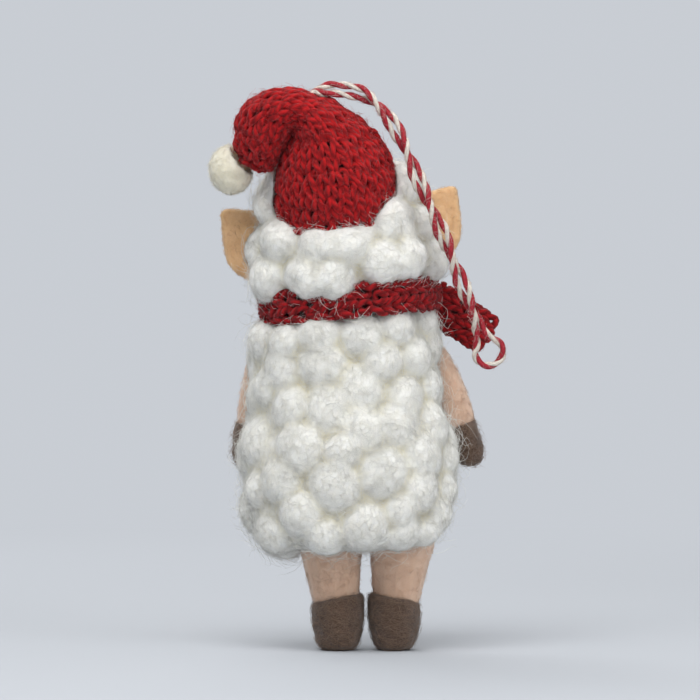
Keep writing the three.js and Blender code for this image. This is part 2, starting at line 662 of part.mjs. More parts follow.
function loopPath() {
  const run = new THREE.CatmullRomCurve3(LOOP_RUN.map((point) => vec(...point)));
  const apart = (TWINE + TWINE_PARTING) / 2;
  const steps = 24;
  const strand = (sign) =>
    Array.from({ length: steps + 1 }, (_, k) => {
      const t = k / steps;
      const along = run.getTangentAt(t);
      const across = vec(0, 1, 0).cross(along).normalize();
      const angle = t * LOOP_TURNS * Math.PI * 2;
      const side = across.multiplyScalar(Math.cos(angle)).addScaledVector(back, Math.sin(angle));
      return run.getPointAt(t).addScaledVector(side, sign * apart);
    });
  const end = run.getPointAt(1);
  const along = run.getTangentAt(1);
  const across = vec(0, 1, 0).cross(along).normalize();
  const sense = Math.cos(LOOP_TURNS * Math.PI * 2) < 0 ? -1 : 1;
  const open = Math.asin(Math.min(1, apart / EYE_OPENING));
  const middle = end.clone().addScaledVector(along, EYE_OPENING * Math.cos(open) + TWINE / 2);
  const eyeSteps = 8;
  const eye = Array.from({ length: eyeSteps + 1 }, (_, k) => {
    const angle = lerp(open + 0.35, 2 * Math.PI - open - 0.35, k / eyeSteps);
    const spoke = along.clone().multiplyScalar(-Math.cos(angle) * EYE_OPENING);
    spoke.addScaledVector(across, sense * Math.sin(angle) * EYE_OPENING);
    return spoke.add(middle);
  });
  return new THREE.CatmullRomCurve3([...strand(1), ...eye, ...strand(-1).reverse()]);
}

function loopForm() {
  const section = new THREE.Shape().absarc(0, 0, TWINE / 2, 0, 2 * Math.PI, false);
  return new THREE.ExtrudeGeometry(section, {
    extrudePath: loopPath(),
    steps: 64,
    curveSegments: 4,
    bevelEnabled: false,
  });
}

const stitchRoot = vec(-STITCH_OUT, 0, HAT_HEIGHT - KNIT).applyMatrix4(hatFrame);
const stitchForm = (grow) => limb([stitchRoot, bend], [STITCH_RADIUS, STITCH_RADIUS], grow);

// Pieces: each is cut by the ones it lies against.
const sides = { left: 1, right: -1 };
const forward = vec(-1, 0, 0);
const TURN = GAP + SWING_GAP;
const each = (make) => Object.values(sides).flatMap(make);

const legRooms = each((side) =>
  swingRoom(legForm(side, TURN), hip(side), HIP_RADIUS, HOOF_FORWARD / LEG_LENGTH, LEG_SWING, LEG_SWING),
);
const armRooms = each((side) =>
  swingRoom(reachForm(side, TURN), shoulder(side), SHOULDER_RADIUS, ARM_FORWARD / ARM_DROP, ARM_SWING, 0),
);
const tailRooms = [
  ellipsoid(fold, vec(TAIL_ROOT_RADIUS, TAIL_ROOT_RADIUS, TAIL_ROOT_RADIUS), TURN + SWING_GAP),
  tailForm(TURN).translate(fold.x, fold.y, fold.z),
];
const sideEndSwings = swept(sideEndForm(TURN), sideEndRoot, sideEndAxis, SCARF_END_LIFT, 2);
const frontEndSwings = swept(frontEndForm(TURN), frontEndRoot, forward, SCARF_END_LIFT, 2);
const scarfCutters = [scarfForm(GAP), knotForm(GAP), ...sideEndSwings, ...frontEndSwings];

const coreForm = bodyForm(-FLEECE);
const headCoreForm = (grow) => geometryOf(joined([headForm(grow - HEAD_FLEECE), neckForm(grow)]));
const earForms = (grow) => each((side) => earForm(side, grow));
const eyeForms = (grow) => each((side) => eyeForm(side, grow));

const white = new THREE.MeshStandardMaterial({ name: "fleece_wool", color: 0xdcdbd3, roughness: 0.95 });
const tan = new THREE.MeshStandardMaterial({ name: "tan_wool", color: 0xc4a288, roughness: 0.9 });
const brown = new THREE.MeshStandardMaterial({ name: "brown_wool", color: 0x4f3e34, roughness: 0.9 });
const earFelt = new THREE.MeshStandardMaterial({ name: "ear_felt", color: 0xc39a6b, roughness: 0.9 });
const red = new THREE.MeshStandardMaterial({ name: "red_knit", color: 0xa8151a, roughness: 0.85 });
const cream = new THREE.MeshStandardMaterial({ name: "pompom_felt", color: 0xdcdac6, roughness: 0.95 });
const black = new THREE.MeshStandardMaterial({ name: "eye_bead", color: 0x17130f, roughness: 0.2 });
const pink = new THREE.MeshStandardMaterial({ name: "nose_wool", color: 0xa66c62, roughness: 0.9 });
const twine = new THREE.MeshStandardMaterial({ name: "cotton_twine", color: 0xc0605f, roughness: 0.8 });

const ornament = new THREE.Group();
ornament.name = "felt_sheep_ornament";

// A named group at a place, for pieces that move or belong together.
function place(name, at = vec(0, 0, 0)) {
  const group = new THREE.Group();
  group.name = name;
  group.position.copy(at);
  ornament.add(group);
  return group;
}

function piece(group, name, geometry, material) {
  const mesh = new THREE.Mesh(geometry, material);
  mesh.name = name;
  group.add(mesh);
}

const body = place("body");
piece(body, "body_core", cutBy(coreForm, [...legRooms, ...armRooms]), white);
const fleeceCutters = [bodyForm(GAP - FLEECE), neckForm(GAP), ...scarfCutters, ...legRooms, ...armRooms];
piece(body, "body_fleece", cutBy(bodyFleeceForm(), fleeceCutters), white);

const head = place("head");
piece(head, "head_core", cutBy(headCoreForm(0), [bodyForm(GAP - FLEECE), ...armRooms]), white);
const hatRoom = domeForm(GAP, BRIM + GAP);
const headCutters = [headCoreForm(GAP), faceForm(GAP), ...earForms(GAP), hatRoom, ...scarfCutters];
piece(head, "head_fleece", cutBy(headFleeceForm(), headCutters), white);
const faceCutters = [headCoreForm(GAP), scarfForm(GAP), ...eyeForms(GAP), noseForm(GAP)];
piece(head, "face", cutBy(faceForm(0), faceCutters), tan);
piece(head, "nose", noseForm(0), pink);
for (const [name, side] of Object.entries(sides)) {
  piece(head, `eye_${name}`, eyeForm(side, 0), black);
  piece(head, `ear_${name}`, cutBy(earForm(side, 0), [headCoreForm(GAP), hatRoom]), earFelt);
}

for (const [name, side] of Object.entries(sides)) {
  const arm = place(`arm_${name}_group`, shoulder(side));
  piece(arm, `arm_${name}`, armForm(side, 0), tan);
  piece(arm, `hand_hoof_${name}`, cutBy(handForm(side), [armForm(side, GAP)]), brown);
  const leg = place(`leg_${name}_group`, hip(side));
  piece(leg, `leg_${name}`, legForm(side, 0), tan);
  piece(leg, `foot_hoof_${name}`, cutBy(hoofForm(side), [legForm(side, GAP)]), brown);
}

const hat = place("hat");
const hatCutters = [headCoreForm(GAP), faceForm(GAP), ...tailRooms, stitchForm(GAP)];
piece(hat, "hat_crown", cutBy(domeForm(0, BRIM), [domeForm(-KNIT, 3 * BRIM), ...hatCutters]), red);
piece(hat, "hat_stuffing", cutBy(domeForm(-KNIT - GAP, 0), hatCutters), white);
const tail = place("hat_tail_group", fold);
piece(tail, "hat_tail", tailForm(0), red);
piece(tail, "pompom", cutBy(pompomForm(), [tailForm(GAP)]), cream);

const scarf = place("scarf");
piece(scarf, "scarf_wrap", scarfForm(0), red);
piece(scarf, "scarf_knot", cutBy(knotForm(0), [scarfForm(GAP), ...sideEndSwings, ...frontEndSwings]), red);
piece(place("scarf_side_group", sideEndRoot), "scarf_side_end", sideEndForm(0), red);
piece(place("scarf_front_group", frontEndRoot), "scarf_front_end", frontEndForm(0), red);

// The origin: under the middle of everything but the twine.
ornament.updateMatrixWorld(true);
const box = new THREE.Box3().setFromObject(ornament);
const middle = box.getCenter(vec(0, 0, 0));
ornament.position.set(-middle.x, -middle.y, -box.min.z);

piece(hat, "hanger_stitch", stitchForm(0), twine);
piece(place("hanging_loop_group", bend), "hanging_cord", loopForm(), twine);

export default ornament;
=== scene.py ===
"""Dresses a felt sheep ornament in needled wool, a knitted hat and scarf, twisted twine and loose fibres."""

import json
import math

import bpy
import numpy as np
from bpy.props import FloatProperty, FloatVectorProperty, IntProperty, PointerProperty
from mathutils import Euler, Matrix, Vector
from mathutils.bvhtree import BVHTree

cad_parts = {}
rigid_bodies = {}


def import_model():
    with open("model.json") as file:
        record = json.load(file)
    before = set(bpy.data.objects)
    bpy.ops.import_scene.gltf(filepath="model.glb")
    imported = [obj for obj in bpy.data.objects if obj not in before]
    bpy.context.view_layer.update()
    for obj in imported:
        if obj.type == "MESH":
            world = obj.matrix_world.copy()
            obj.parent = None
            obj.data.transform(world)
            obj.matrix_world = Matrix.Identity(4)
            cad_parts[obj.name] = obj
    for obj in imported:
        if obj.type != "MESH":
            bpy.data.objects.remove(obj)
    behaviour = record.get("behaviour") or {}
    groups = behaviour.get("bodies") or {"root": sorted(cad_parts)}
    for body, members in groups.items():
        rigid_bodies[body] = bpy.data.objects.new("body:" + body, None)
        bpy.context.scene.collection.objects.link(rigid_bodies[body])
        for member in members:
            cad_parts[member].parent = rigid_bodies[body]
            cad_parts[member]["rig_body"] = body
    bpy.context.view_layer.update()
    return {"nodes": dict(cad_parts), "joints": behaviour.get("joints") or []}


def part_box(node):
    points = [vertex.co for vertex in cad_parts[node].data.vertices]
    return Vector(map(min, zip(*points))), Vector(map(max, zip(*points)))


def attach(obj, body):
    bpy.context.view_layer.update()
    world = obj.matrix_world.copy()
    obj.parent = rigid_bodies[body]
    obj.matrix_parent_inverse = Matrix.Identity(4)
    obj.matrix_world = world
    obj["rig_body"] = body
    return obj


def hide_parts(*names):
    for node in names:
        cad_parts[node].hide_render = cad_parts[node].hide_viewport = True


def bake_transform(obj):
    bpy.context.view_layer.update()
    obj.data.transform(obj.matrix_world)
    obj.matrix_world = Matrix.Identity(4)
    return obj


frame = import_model()

bl_info = {
    "name": "Felt sheep ornament",
    "version": (1, 0, 0),
    "blender": (4, 5, 0),
    "location": "3D View > Sidebar > Ornament",
    "description": "Dresses a needle-felted sheep in a knitted hat and scarf",
    "category": "Object",
}

MM = 0.001
SEED = 12

# Steps to a smooth line between two of its points
LINE_STEPS = 40

# Where the pieces lie, as in the frame. A span is the shares of the height between which a form changes.
JOINTS = {joint["name"]: joint for joint in frame["joints"]}
SIDES = ("left", "right")
NECK = np.array([0.76, 0.59, 68.75]) * MM
HEAD_RISE = 14.65 * MM
HEAD_TILT = math.radians(6)
HEAD_TURN = np.array(Matrix.Rotation(HEAD_TILT, 3, "Y"))
HEAD_HALVES = np.array([17.6, 15.0, 12.4]) * MM
HEAD_SQUARENESS = 6
CROWN_SHARE = 0.795
CROWN_SPAN = (0.2, 0.95)
BODY_MIDDLE = np.array([1.16, 0.59, 43.4]) * MM
BODY_HALVES = np.array([20.2, 16.0, 23.1]) * MM
BODY_SQUARENESS = np.array([6, 12])
CHEST_SHARE = 0.861
CHEST_SPAN = (0.35, 0.75)
CHEST_TO_LEFT = 1 * MM
CHEST_TO_LEFT_SPAN = (0.5, 1)
SHOULDER_SPAN = (0.6, 1)

# Fleece
FLEECE_VOXEL = 0.42 * MM
ROOM_VOXEL = 0.6 * MM
ROOM_CLEARANCE = 0.45 * MM
ROOM_STEPS = 3
RIGHT_LEG_ROOM = 4 * MM
HEAD_ROOM_CLEARANCE = 0.15 * MM
HAT_ROOM_START = 0.2
HAT_ROOM_PROUD = 1.05 * MM
BOBBLE_PROUD = 2.2 * MM
TUFT_PROUD = 3.4 * MM
PUFF_SOFTNESS = 3
PUFF_ROOM = 0.58
BOBBLES = 84
TUFTS = 30
GOLDEN_TURN = (3 - math.sqrt(5)) / 2
POLE_SHARE = 0.01
# Painted shade in the fleece's hollows: where its mask starts, as a share of the depth, and the rounds and
# shares of the smoothing that finds the hollows
HOLLOW_EDGE = -0.2
HOLLOW_ROUNDS = 60
OWN_SHARE = 0.3
NEIGHBOURS_SHARE = 0.7

# Bobbles of the back: shares of the half width to the left and of the body's height, and the radius in mm
BACK_BOBBLES = (
    (0.98, 0.95, 4.9),
    (0.67, 0.91, 4.2),
    (0.3, 0.94, 4.9),
    (-0.23, 0.92, 4.9),
    (-0.63, 0.94, 4.6),
    (-0.98, 0.96, 4.2),
    (0.27, 0.8, 5.5),
    (-0.42, 0.8, 4.9),
    (-0.81, 0.81, 4.9),
    (0.72, 0.78, 5.1),
    (0.9, 0.7, 4.4),
    (-0.16, 0.69, 5.8),
    (0.19, 0.61, 6.2),
    (-0.64, 0.66, 5.1),
    (-0.94, 0.7, 4.0),
    (0.61, 0.62, 5.1),
    (0.96, 0.47, 5.5),
    (0.47, 0.45, 6.0),
    (-0.15, 0.53, 5.8),
    (-0.53, 0.55, 5.8),
    (-0.9, 0.54, 5.5),
    (0.05, 0.43, 4.6),
    (0.67, 0.3, 5.1),
    (0.13, 0.29, 5.8),
    (-0.35, 0.34, 5.8),
    (-0.74, 0.41, 5.8),
    (-0.98, 0.39, 4.0),
    (0.9, 0.26, 4.0),
    (-0.71, 0.26, 5.1),
    (-0.97, 0.26, 4.2),
    (0.48, 0.16, 5.1),
    (-0.53, 0.18, 4.0),
    (-0.91, 0.15, 4.6),
    (0.83, 0.05, 5.1),
    (0.26, 0.05, 4.6),
    (-0.2, 0.09, 5.5),
    (-0.59, 0.07, 4.6),
    (-0.83, 0.08, 4.0),
)

# Tufts on the back of the head: shares of the half width to the left and of the height, and the radius in mm
BACK_TUFTS = (
    (0.76, 0.49, 5.2),
    (0.9, 0.2, 5.6),
    (0.24, 0.41, 5.2),
    (-0.08, 0.41, 5.4),
    (0.46, 0.16, 5.0),
    (0.16, 0.12, 4.8),
    (-0.62, 0.56, 6.2),
    (-0.42, 0.23, 5.2),
    (-0.97, 0.22, 5.0),
    (-0.7, 0.24, 5.2),
    (-0.91, 0.81, 4.4),
    (-0.95, 0.5, 4.8),
    (0.97, 0.78, 4.2),
)

# A foot's hoof from its sole up: shares of its half width and of its height. Its top slants up to the inner
# side.
HOOF_PROFILE = (
    (0.56, 0.0),
    (0.67, 0.03),
    (0.78, 0.12),
    (0.89, 0.32),
    (0.97, 0.62),
    (0.98, 0.85),
    (0.94, 0.97),
    (0.87, 1.0),
)
HOOF_SLANT = 0.16
HOOF_SLANT_SPAN = (0.5, 1)
HOOF_SIDES = 48
SOLE_LIFT = 0.2 * MM

# How far each arm bows to the sheep's left
ARM_BOWS = {"left": 0.8 * MM, "right": -1.4 * MM}

# The hat from its brim over the fold to its tip, in mm from the fold: the crease side and the outer side of
# each section across and up, its middle behind the fold, its half depth, and the degrees it tips back.
HAT_SECTIONS = np.array(
    (
        (4.5, -19.6, -20.1, -16.0, -8.5, 13.4, 24),
        (4.5, -15.2, -19.7, -11.8, -6.5, 13.9, 24),
        (4.1, -11.2, -18.5, -7.6, -4.5, 13.2, 24),
        (3.1, -7.6, -15.9, -3.6, -2.7, 11.6, 22),
        (1.8, -4.8, -12.1, 0.0, -1.1, 9.8, 18),
        (0.9, -3.4, -6.9, 3.2, 0.2, 8.2, 12),
        (0.5, -3.0, -1.5, 4.9, 0.6, 7.2, 6),
        (0.7, -3.4, 4.0, 5.3, 0.4, 6.8, 0),
        (1.4, -4.9, 8.7, 3.8, -0.2, 6.6, 0),
        (2.6, -7.0, 11.5, 0.4, -1.2, 6.2, 0),
        (3.8, -9.2, 12.4, -3.6, -2.4, 5.6, 0),
        (5.2, -10.6, 12.0, -6.8, -3.2, 4.4, 0),
        (7.4, -10.6, 10.9, -8.6, -3.7, 2.6, 0),
    )
)
FOLD_SECTION = 6
HAT_INSET = 0.95 * MM
BALL_SHARES = (0.96, 0.96, 1.08)
CROWN_ROWS = 11
TAIL_ROWS = 8
STITCH_GROUP = 3
LEAST_STITCHES = 6
GIRTH_POINTS = 65
LINING_SIDES = 48
LINING_RINGS = 24
LINING_SHARE = 0.35

# Shape of a knitted loop, in shares of a stitch and of a row
LOOP_POINTS = 14
LOOP_LEAN = 0.29
LOOP_REACH = 0.86
LOOP_UNEVEN = 0.22
LOOP_LIFT = 0.5
YARN_SIDES = 6
YARN_TWIST = 2.2 * MM

# The scarf: its band round the neck, its knot and its free ends
SCARF_HALF_WIDTH = 17.3 * MM
SCARF_HALF_DEPTH = 14.9 * MM
SCARF_BAND = 6.4 * MM
SCARF_RISE = 0.95 * MM
SCARF_ROLL = 1.0 * MM
SCARF_ROWS = 40
SCARF_STITCHES = 2
KNOT_HALF = 4.5 * MM
KNOT_WRAP = 0.86
KNOT_FULLNESS = 0.7
KNOT_ROWS = 9
KNOT_STITCHES = 4
END_WIDTH = 8.2 * MM
END_CURL = 0.5 * MM
END_PROUD = 0.45 * MM
END_STITCHES = 3
END_START = 0.6

# The scarf's free ends: CAD node, joint, the way it hangs, its length and its rows of stitches
SCARF_ENDS = (
    ("scarf_side_end", "scarf_side_lift", (-0.8387, 0, -0.5446), 11.7 * MM, 5),
    ("scarf_front_end", "scarf_front_lift", (0, 0, -1), 23 * MM, 9),
)

# The mouth's stitches across and up from under the nose, in mm
MOUTH_ROUTES = (
    ((0, 0.2), (0, -0.6), (0, -1.6)),
    ((0, -1.6), (-1.5, -2.4), (-3.2, -2.1)),
    ((0, -1.6), (1.5, -2.4), (3.2, -2.1)),
)
MOUTH_THREAD = 0.56 * MM
MOUTH_PROUD = 0.12 * MM

# Loose fibres: the thickness of a plain one and of a long curl, their taper as shares of their length and of
# their thickness, and their lengths as shares of their reach. Most lie low, and lift towards their end.
FIBRE = 0.055 * MM
CURL = 0.08 * MM
FIBRE_TAPER = ((0, 0.25, 0.7, 1), (0.6, 1, 0.9, 0.35))
FIBRE_LENGTHS = (0.5, 1.4)
FIBRE_SIDES = 3
LIFT_POWER = 0.5
LIFT_BEND = 1.4

# How far a fibre turns in radians: the least and most in one step, the most along it, and how much it strays
LEAST_CURL = 0.2
MOST_CURL = 1.2
WHOLE_CURL = 4.5
CURL_STRAYS = 0.3
WOUND_CURL = 0.15
WOUND_STRAYS = 0.3

# The middle of the hanging loop's two strands, from its bend down to its open end, in mm from the bend
LOOP_RUN = (
    (-3.0, 0.2, -1.2),
    (-5.8, 0.1, -2.8),
    (-9.6, 0.1, -6.2),
    (-13.2, 0.2, -12.4),
    (-16.6, 0.4, -20.6),
    (-20.6, -0.8, -29.4),
    (-24.2, -3.6, -38.4),
    (-27.0, -5.6, -45.4),
    (-28.8, -6.8, -49.8),
)

# The twine where it comes out of the hat and goes back into it, and the stitch beside it, in mm from the bend
OUT_OF_HAT = ((4.6, -0.6, -3.0), (4.2, -0.2, -1.8), (2.8, 0.2, -0.8), (0.2, 0.3, -0.4))
INTO_HAT = ((5.2, 0.8, -3.4), (4.6, 0.9, -1.8), (2.6, 0.9, -2.2), (0.0, 0.5, -2.2))
HANGER_STITCH = ((4.2, -1.0, -4.6), (4.6, 1.2, -3.4), (4.9, 1.6, -4.6), (4.6, 1.0, -6.0))
LOOP_TURNS = 2.5
STRAND_PARTING = 1.9 * MM
EYE_OPENING = 2.8 * MM
EYE_DROP = 0.9 * MM
EYE_EASE = 0.35
EYE_POINTS = 9
RUN_POINTS = 90
LINE_POINTS = 700
STITCH_POINTS = 40
PLY_SHARES = (0.35, 0.29)
PLY_SIDES = 10

# The stage in metres: the paper sweep, and each lamp's name, place and size, with its power in watts
PAPER_RADIUS = 0.9
PAPER_BEND = 0.4
PAPER_STEPS = 10
PAPER_WALL = 0.5
LAMPS = (
    ("key lamp", (0.1, 0.42, 0.62), 0.5, 4.0),
    ("fill lamp", (-0.5, 0.55, 0.25), 0.5, 2.0),
    ("front lamp", (0.2, -0.6, 0.5), 0.6, 3.0),
)
LAMP_AIM = (0, 0, 0.06)
ROOM_LIGHT = 0.6

# The camera: the width of its sensor in mm, and where it stands behind the sheep
SENSOR = 36
CAMERA_ACROSS = 0.75 * MM
CAMERA_HEIGHT = 60 * MM


def linear(hex_colour):
    """The linear colour, with full alpha, of an sRGB hex value."""
    shares = [int(hex_colour[k : k + 2], 16) / 255 for k in (1, 3, 5)]
    return (*(c / 12.92 if c <= 0.04045 else ((c + 0.055) / 1.055) ** 2.4 for c in shares), 1.0)


def colour(name, description, hex_colour):
    """A colour property with its default as sRGB hex."""
    default = linear(hex_colour)
    return FloatVectorProperty(name=name, description=description, subtype="COLOR", size=4, default=default)


def length(name, description, millimetres):
    """A length property with its default in millimetres."""
    default = millimetres * MM
    return FloatProperty(name=name, description=description, unit="LENGTH", precision=5, default=default)


def amount(name, description, default):
    """A whole-number property."""
    return IntProperty(name=name, description=description, default=default, min=0)


class FleeceSettings(bpy.types.PropertyGroup):
    """The white wool of the body and head."""

    bobble: length("Bobble", "Radius of a felted bobble on the body", 5.5)
    tuft: length("Tuft", "Radius of a tuft of wool on the head", 6.6)
    wool: colour("Wool", "Tops of the bobbles", "#f1f0ea")
    # Painted shade: the fleece is painted a darker cream between its bobbles, where shade falls
    hollow_shade: colour("Hollows", "Creamy wool between the bobbles", "#e0d8b8")
    fibres: amount("Fibres", "Loose fibres in each layer of the body", 8000)
    head_fibres: amount("Head fibres", "Loose fibres in each layer of the head", 7000)


class FeltSettings(bpy.types.PropertyGroup):
    """The coloured wool of the limbs, face, ears and ball."""

    skin: colour("Skin", "Wool of the arms, legs and face", "#e0c0a8")
    skin_deep: colour("Skin, deep", "Darker fibres in that wool", "#d5b196")
    hoof: colour("Hoof", "Wool of the hooves", "#6a5140")
    hoof_deep: colour("Hoof, deep", "Darker wool of the hooves", "#3c2b21")
    hoof_fibre: colour("Hoof fibre", "Paler fibres wound round the hooves", "#8e7460")
    ear: colour("Ear", "Sheet felt of the ears", "#ddb78c")
    ear_deep: colour("Ear, deep", "Darker fibres of the ears", "#cfa577")
    ball: colour("Ball", "Wool of the hat's ball", "#f2eddd")
    ball_deep: colour("Ball, deep", "Shaded wool of the ball", "#e2dcc4")
    nose: colour("Nose", "Wool of the nose", "#a8706a")
    nose_deep: colour("Nose, deep", "Darker fibres of the nose", "#86524c")
    bead: colour("Eye", "Glass of the eyes", "#15110e")
    mouth: colour("Mouth", "Thread of the mouth", "#5a4036")


class KnitSettings(bpy.types.PropertyGroup):
    """The red yarn of the hat and scarf."""

    yarn: length("Yarn", "Thickness of the yarn", 1.34)
    stitch: length("Stitch", "Width of a stitch", 3.0)
    depth: length("Loop depth", "How far a loop's legs stand in front of its head", 0.5)
    red: colour("Red", "Wool on the top of the yarn", "#b8161a")
    # The deep reds are painted shade in the furrows of the twist, and real streaks of darker fibre
    red_streaks_and_shade: colour("Red, deep", "Wool in the yarn's twist", "#7d0a10")
    # Painted shade: the scarf's reds are the hat's yarn painted darker for the shade it lies in between the
    # bobbles
    scarf_red_in_shade: colour("Scarf red", "Wool on the top of the scarf's yarn", "#9e1117")
    scarf_streaks_and_shade: colour("Scarf red, deep", "Wool in the twist of the scarf's yarn", "#66070c")
    hollow_shade: colour("Hollows", "Shaded cloth behind the stitches", "#3a0609")


class TwineSettings(bpy.types.PropertyGroup):
    """The twine of the hanging loop."""

    thickness: length("Twine", "Thickness of the two plies together", 1.55)
    pitch: length("Twist", "Length of one turn of the plies", 6.2)
    red: colour("Red ply", "Cotton of the red ply", "#a81a2b")
    white: colour("White ply", "Cotton of the white ply", "#e4dccf")
    fibre: colour("Fibre", "Loose cotton fibres of both plies", "#d8b8b0")


class StageSettings(bpy.types.PropertyGroup):
    """The floor, light and camera."""

    floor: colour("Floor", "Pale paper under and behind the ornament", "#b9bdc3")
    room: colour("Room", "Soft light from all round", "#f7f6f3")
    field: length("Field", "Height of the picture at the ornament", 140)
    distance: length("Distance", "From the ornament to the camera", 850)


# Objects and modifiers
def only(piece):
    """Makes one object the selected and active one."""
    bpy.ops.object.select_all(action="DESELECT")
    piece.select_set(True)
    bpy.context.view_layer.objects.active = piece


def worked(piece, kind, **settings):
    """Adds a modifier to a piece, sets it and applies it."""
    only(piece)
    bpy.ops.object.modifier_add(type=kind)
    modifier = piece.modifiers[-1]
    for name, value in settings.items():
        setattr(modifier, name, value)
    bpy.ops.object.modifier_apply(modifier=modifier.name)


def linked(name, mesh):
    """A new object at the origin that shows a mesh."""
    piece = bpy.data.objects.new(name, mesh)
    bpy.context.scene.collection.objects.link(piece)
    return piece


def join(pieces):
    """Joins pieces into the first of them."""
    only(pieces[0])
    for piece in pieces[1:]:
        piece.select_set(True)
    bpy.ops.object.join()
    return pieces[0]


def edited(piece, operator, **settings):
    """Runs an edit-mode operator on the whole of a piece."""
    only(piece)
    bpy.ops.object.mode_set(mode="EDIT")
    bpy.ops.mesh.select_all(action="SELECT")
    operator(**settings)
    bpy.ops.object.mode_set(mode="OBJECT")
    return piece


def merged(piece):
    """Merges the loose triangles of a copied CAD mesh."""
    return edited(piece, bpy.ops.mesh.remove_doubles, threshold=0.002 * MM)


def copied(node, name):
    """A piece with a copy of a CAD node's mesh."""
    mesh = frame["nodes"][node].data.copy()
    mesh.materials.clear()
    return merged(linked(name, mesh))


def stretched(piece, shares):
    """Stretches a piece about its middle."""
    corners = np.array(piece.bound_box)
    middle = (corners.min(0) + corners.max(0)) / 2
    return edited(piece, bpy.ops.transform.resize, value=shares, center_override=middle)


def numbers(items, field, width, kind=float):
    """A field of a mesh's vertices, edges or triangles as rows of numbers."""
    values = np.zeros(len(items) * width, kind)
    items.foreach_get(field, values)
    return values.reshape(-1, width)


def bowed(piece, bow):
    """Bows a piece sideways, most at its middle and not at all at its top and bottom."""
    places = numbers(piece.data.vertices, "co", 3)
    low, high = places[:, 2].min(), places[:, 2].max()
    places[:, 0] += bow * np.sin(np.pi * (places[:, 2] - low) / (high - low))
    piece.data.vertices.foreach_set("co", places.ravel())
    piece.data.update()


def lumped(piece, size, height):
    """Makes a surface uneven, with lumps of a size that stand a height apart."""
    texture = bpy.data.textures.new(piece.name + "_lumps", "CLOUDS")
    texture.noise_scale = size
    worked(piece, "DISPLACE", texture=texture, texture_coords="LOCAL", mid_level=0.5, strength=height)
    bpy.data.textures.remove(texture)


def felted(piece, voxel, softening, lumps):
    """Works a closed form over as needled wool: evenly meshed, softened and lumpy."""
    worked(piece, "REMESH", mode="VOXEL", voxel_size=voxel)
    worked(piece, "SMOOTH", factor=0.5, iterations=softening)
    for size, height in lumps:
        lumped(piece, size, height)
    only(piece)
    bpy.ops.object.shade_smooth()
    return piece


def swept(nodes, joint_name):
    """Copies of CAD nodes across the range of the joint that carries them."""
    joint = JOINTS[joint_name]
    pivot = Matrix.Translation(joint["pos_m"])
    copies = []
    for angle in np.linspace(*joint["range_deg"], ROOM_STEPS):
        turn = pivot @ Matrix.Rotation(math.radians(angle), 4, Vector(joint["axis"])) @ pivot.inverted()
        for node in nodes:
            mesh = frame["nodes"][node].data.copy()
            mesh.transform(turn)
            copies.append(linked("room", mesh))
    return copies


def cut_away(piece, copies, clearance):
    """Cuts the room that some copies take, and a clearance round it, from a closed piece."""
    cutter = merged(join(copies))
    worked(cutter, "REMESH", mode="VOXEL", voxel_size=ROOM_VOXEL)
    worked(cutter, "DISPLACE", mid_level=0, strength=clearance)
    worked(piece, "BOOLEAN", operation="DIFFERENCE", object=cutter, solver="MANIFOLD")
    bpy.data.objects.remove(cutter)


def dress(piece, body, nodes):
    """Hands a finished piece to the frame, with its body, and hides the nodes it replaces."""
    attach(piece, body)
    if nodes:
        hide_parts(*nodes)
    return piece


# Lines and tubes
def smooth(rows, at):
    """Rows of numbers as smooth curves, read at fractional row numbers."""
    rows = np.asarray(rows, float)
    k = np.clip(np.floor(at).astype(int), 0, len(rows) - 2)
    t = (at - k)[:, None]
    before, start, end, after = (rows[np.clip(k + step, 0, len(rows) - 1)] for step in (-1, 0, 1, 2))
    bend = 2 * before - 5 * start + 4 * end - after
    twist = 3 * (start - end) + after - before
    return start + 0.5 * t * (end - before + t * (bend + t * twist))


def even_line(points, count):
    """A smooth line through points, as evenly spaced ones."""
    fine = smooth(points, np.linspace(0, len(points) - 1, LINE_STEPS * len(points)))
    run = np.concatenate([[0], np.cumsum(np.linalg.norm(np.diff(fine, axis=0), axis=1))])
    at = np.linspace(0, run[-1], count)
    return np.stack([np.interp(at, run, fine[:, k]) for k in range(3)], axis=1)


def unit(vectors):
    """Vectors at length 1."""
    return vectors / np.maximum(np.linalg.norm(vectors, axis=-1, keepdims=True), 1e-12)


def outward_normals(place, across, along, inside):
    """Unit normals of a surface that point away from what is inside it."""
    small = 1e-3
    points = place(across, along)
    sideways = place(across + small, along) - points
    lengthways = place(across, along + small) - points
    normals = unit(np.cross(sideways, lengthways))
    flip = np.sign(np.sum(normals * (points - inside), axis=1, keepdims=True))
    return normals * flip


def carried_frames(paths):
    """Two directions across each path at each point, carried along it without twist."""
    tangents = unit(np.gradient(paths, axis=1))
    least = np.eye(3)[np.argmin(np.abs(tangents[:, 0]), axis=1)]
    across = [unit(np.cross(tangents[:, 0], least))]
    for k in range(1, paths.shape[1]):
        ahead = tangents[:, k]
        across.append(unit(across[-1] - ahead * np.sum(across[-1] * ahead, axis=1, keepdims=True)))
    across = np.stack(across, axis=1)
    return across, np.cross(tangents, across)


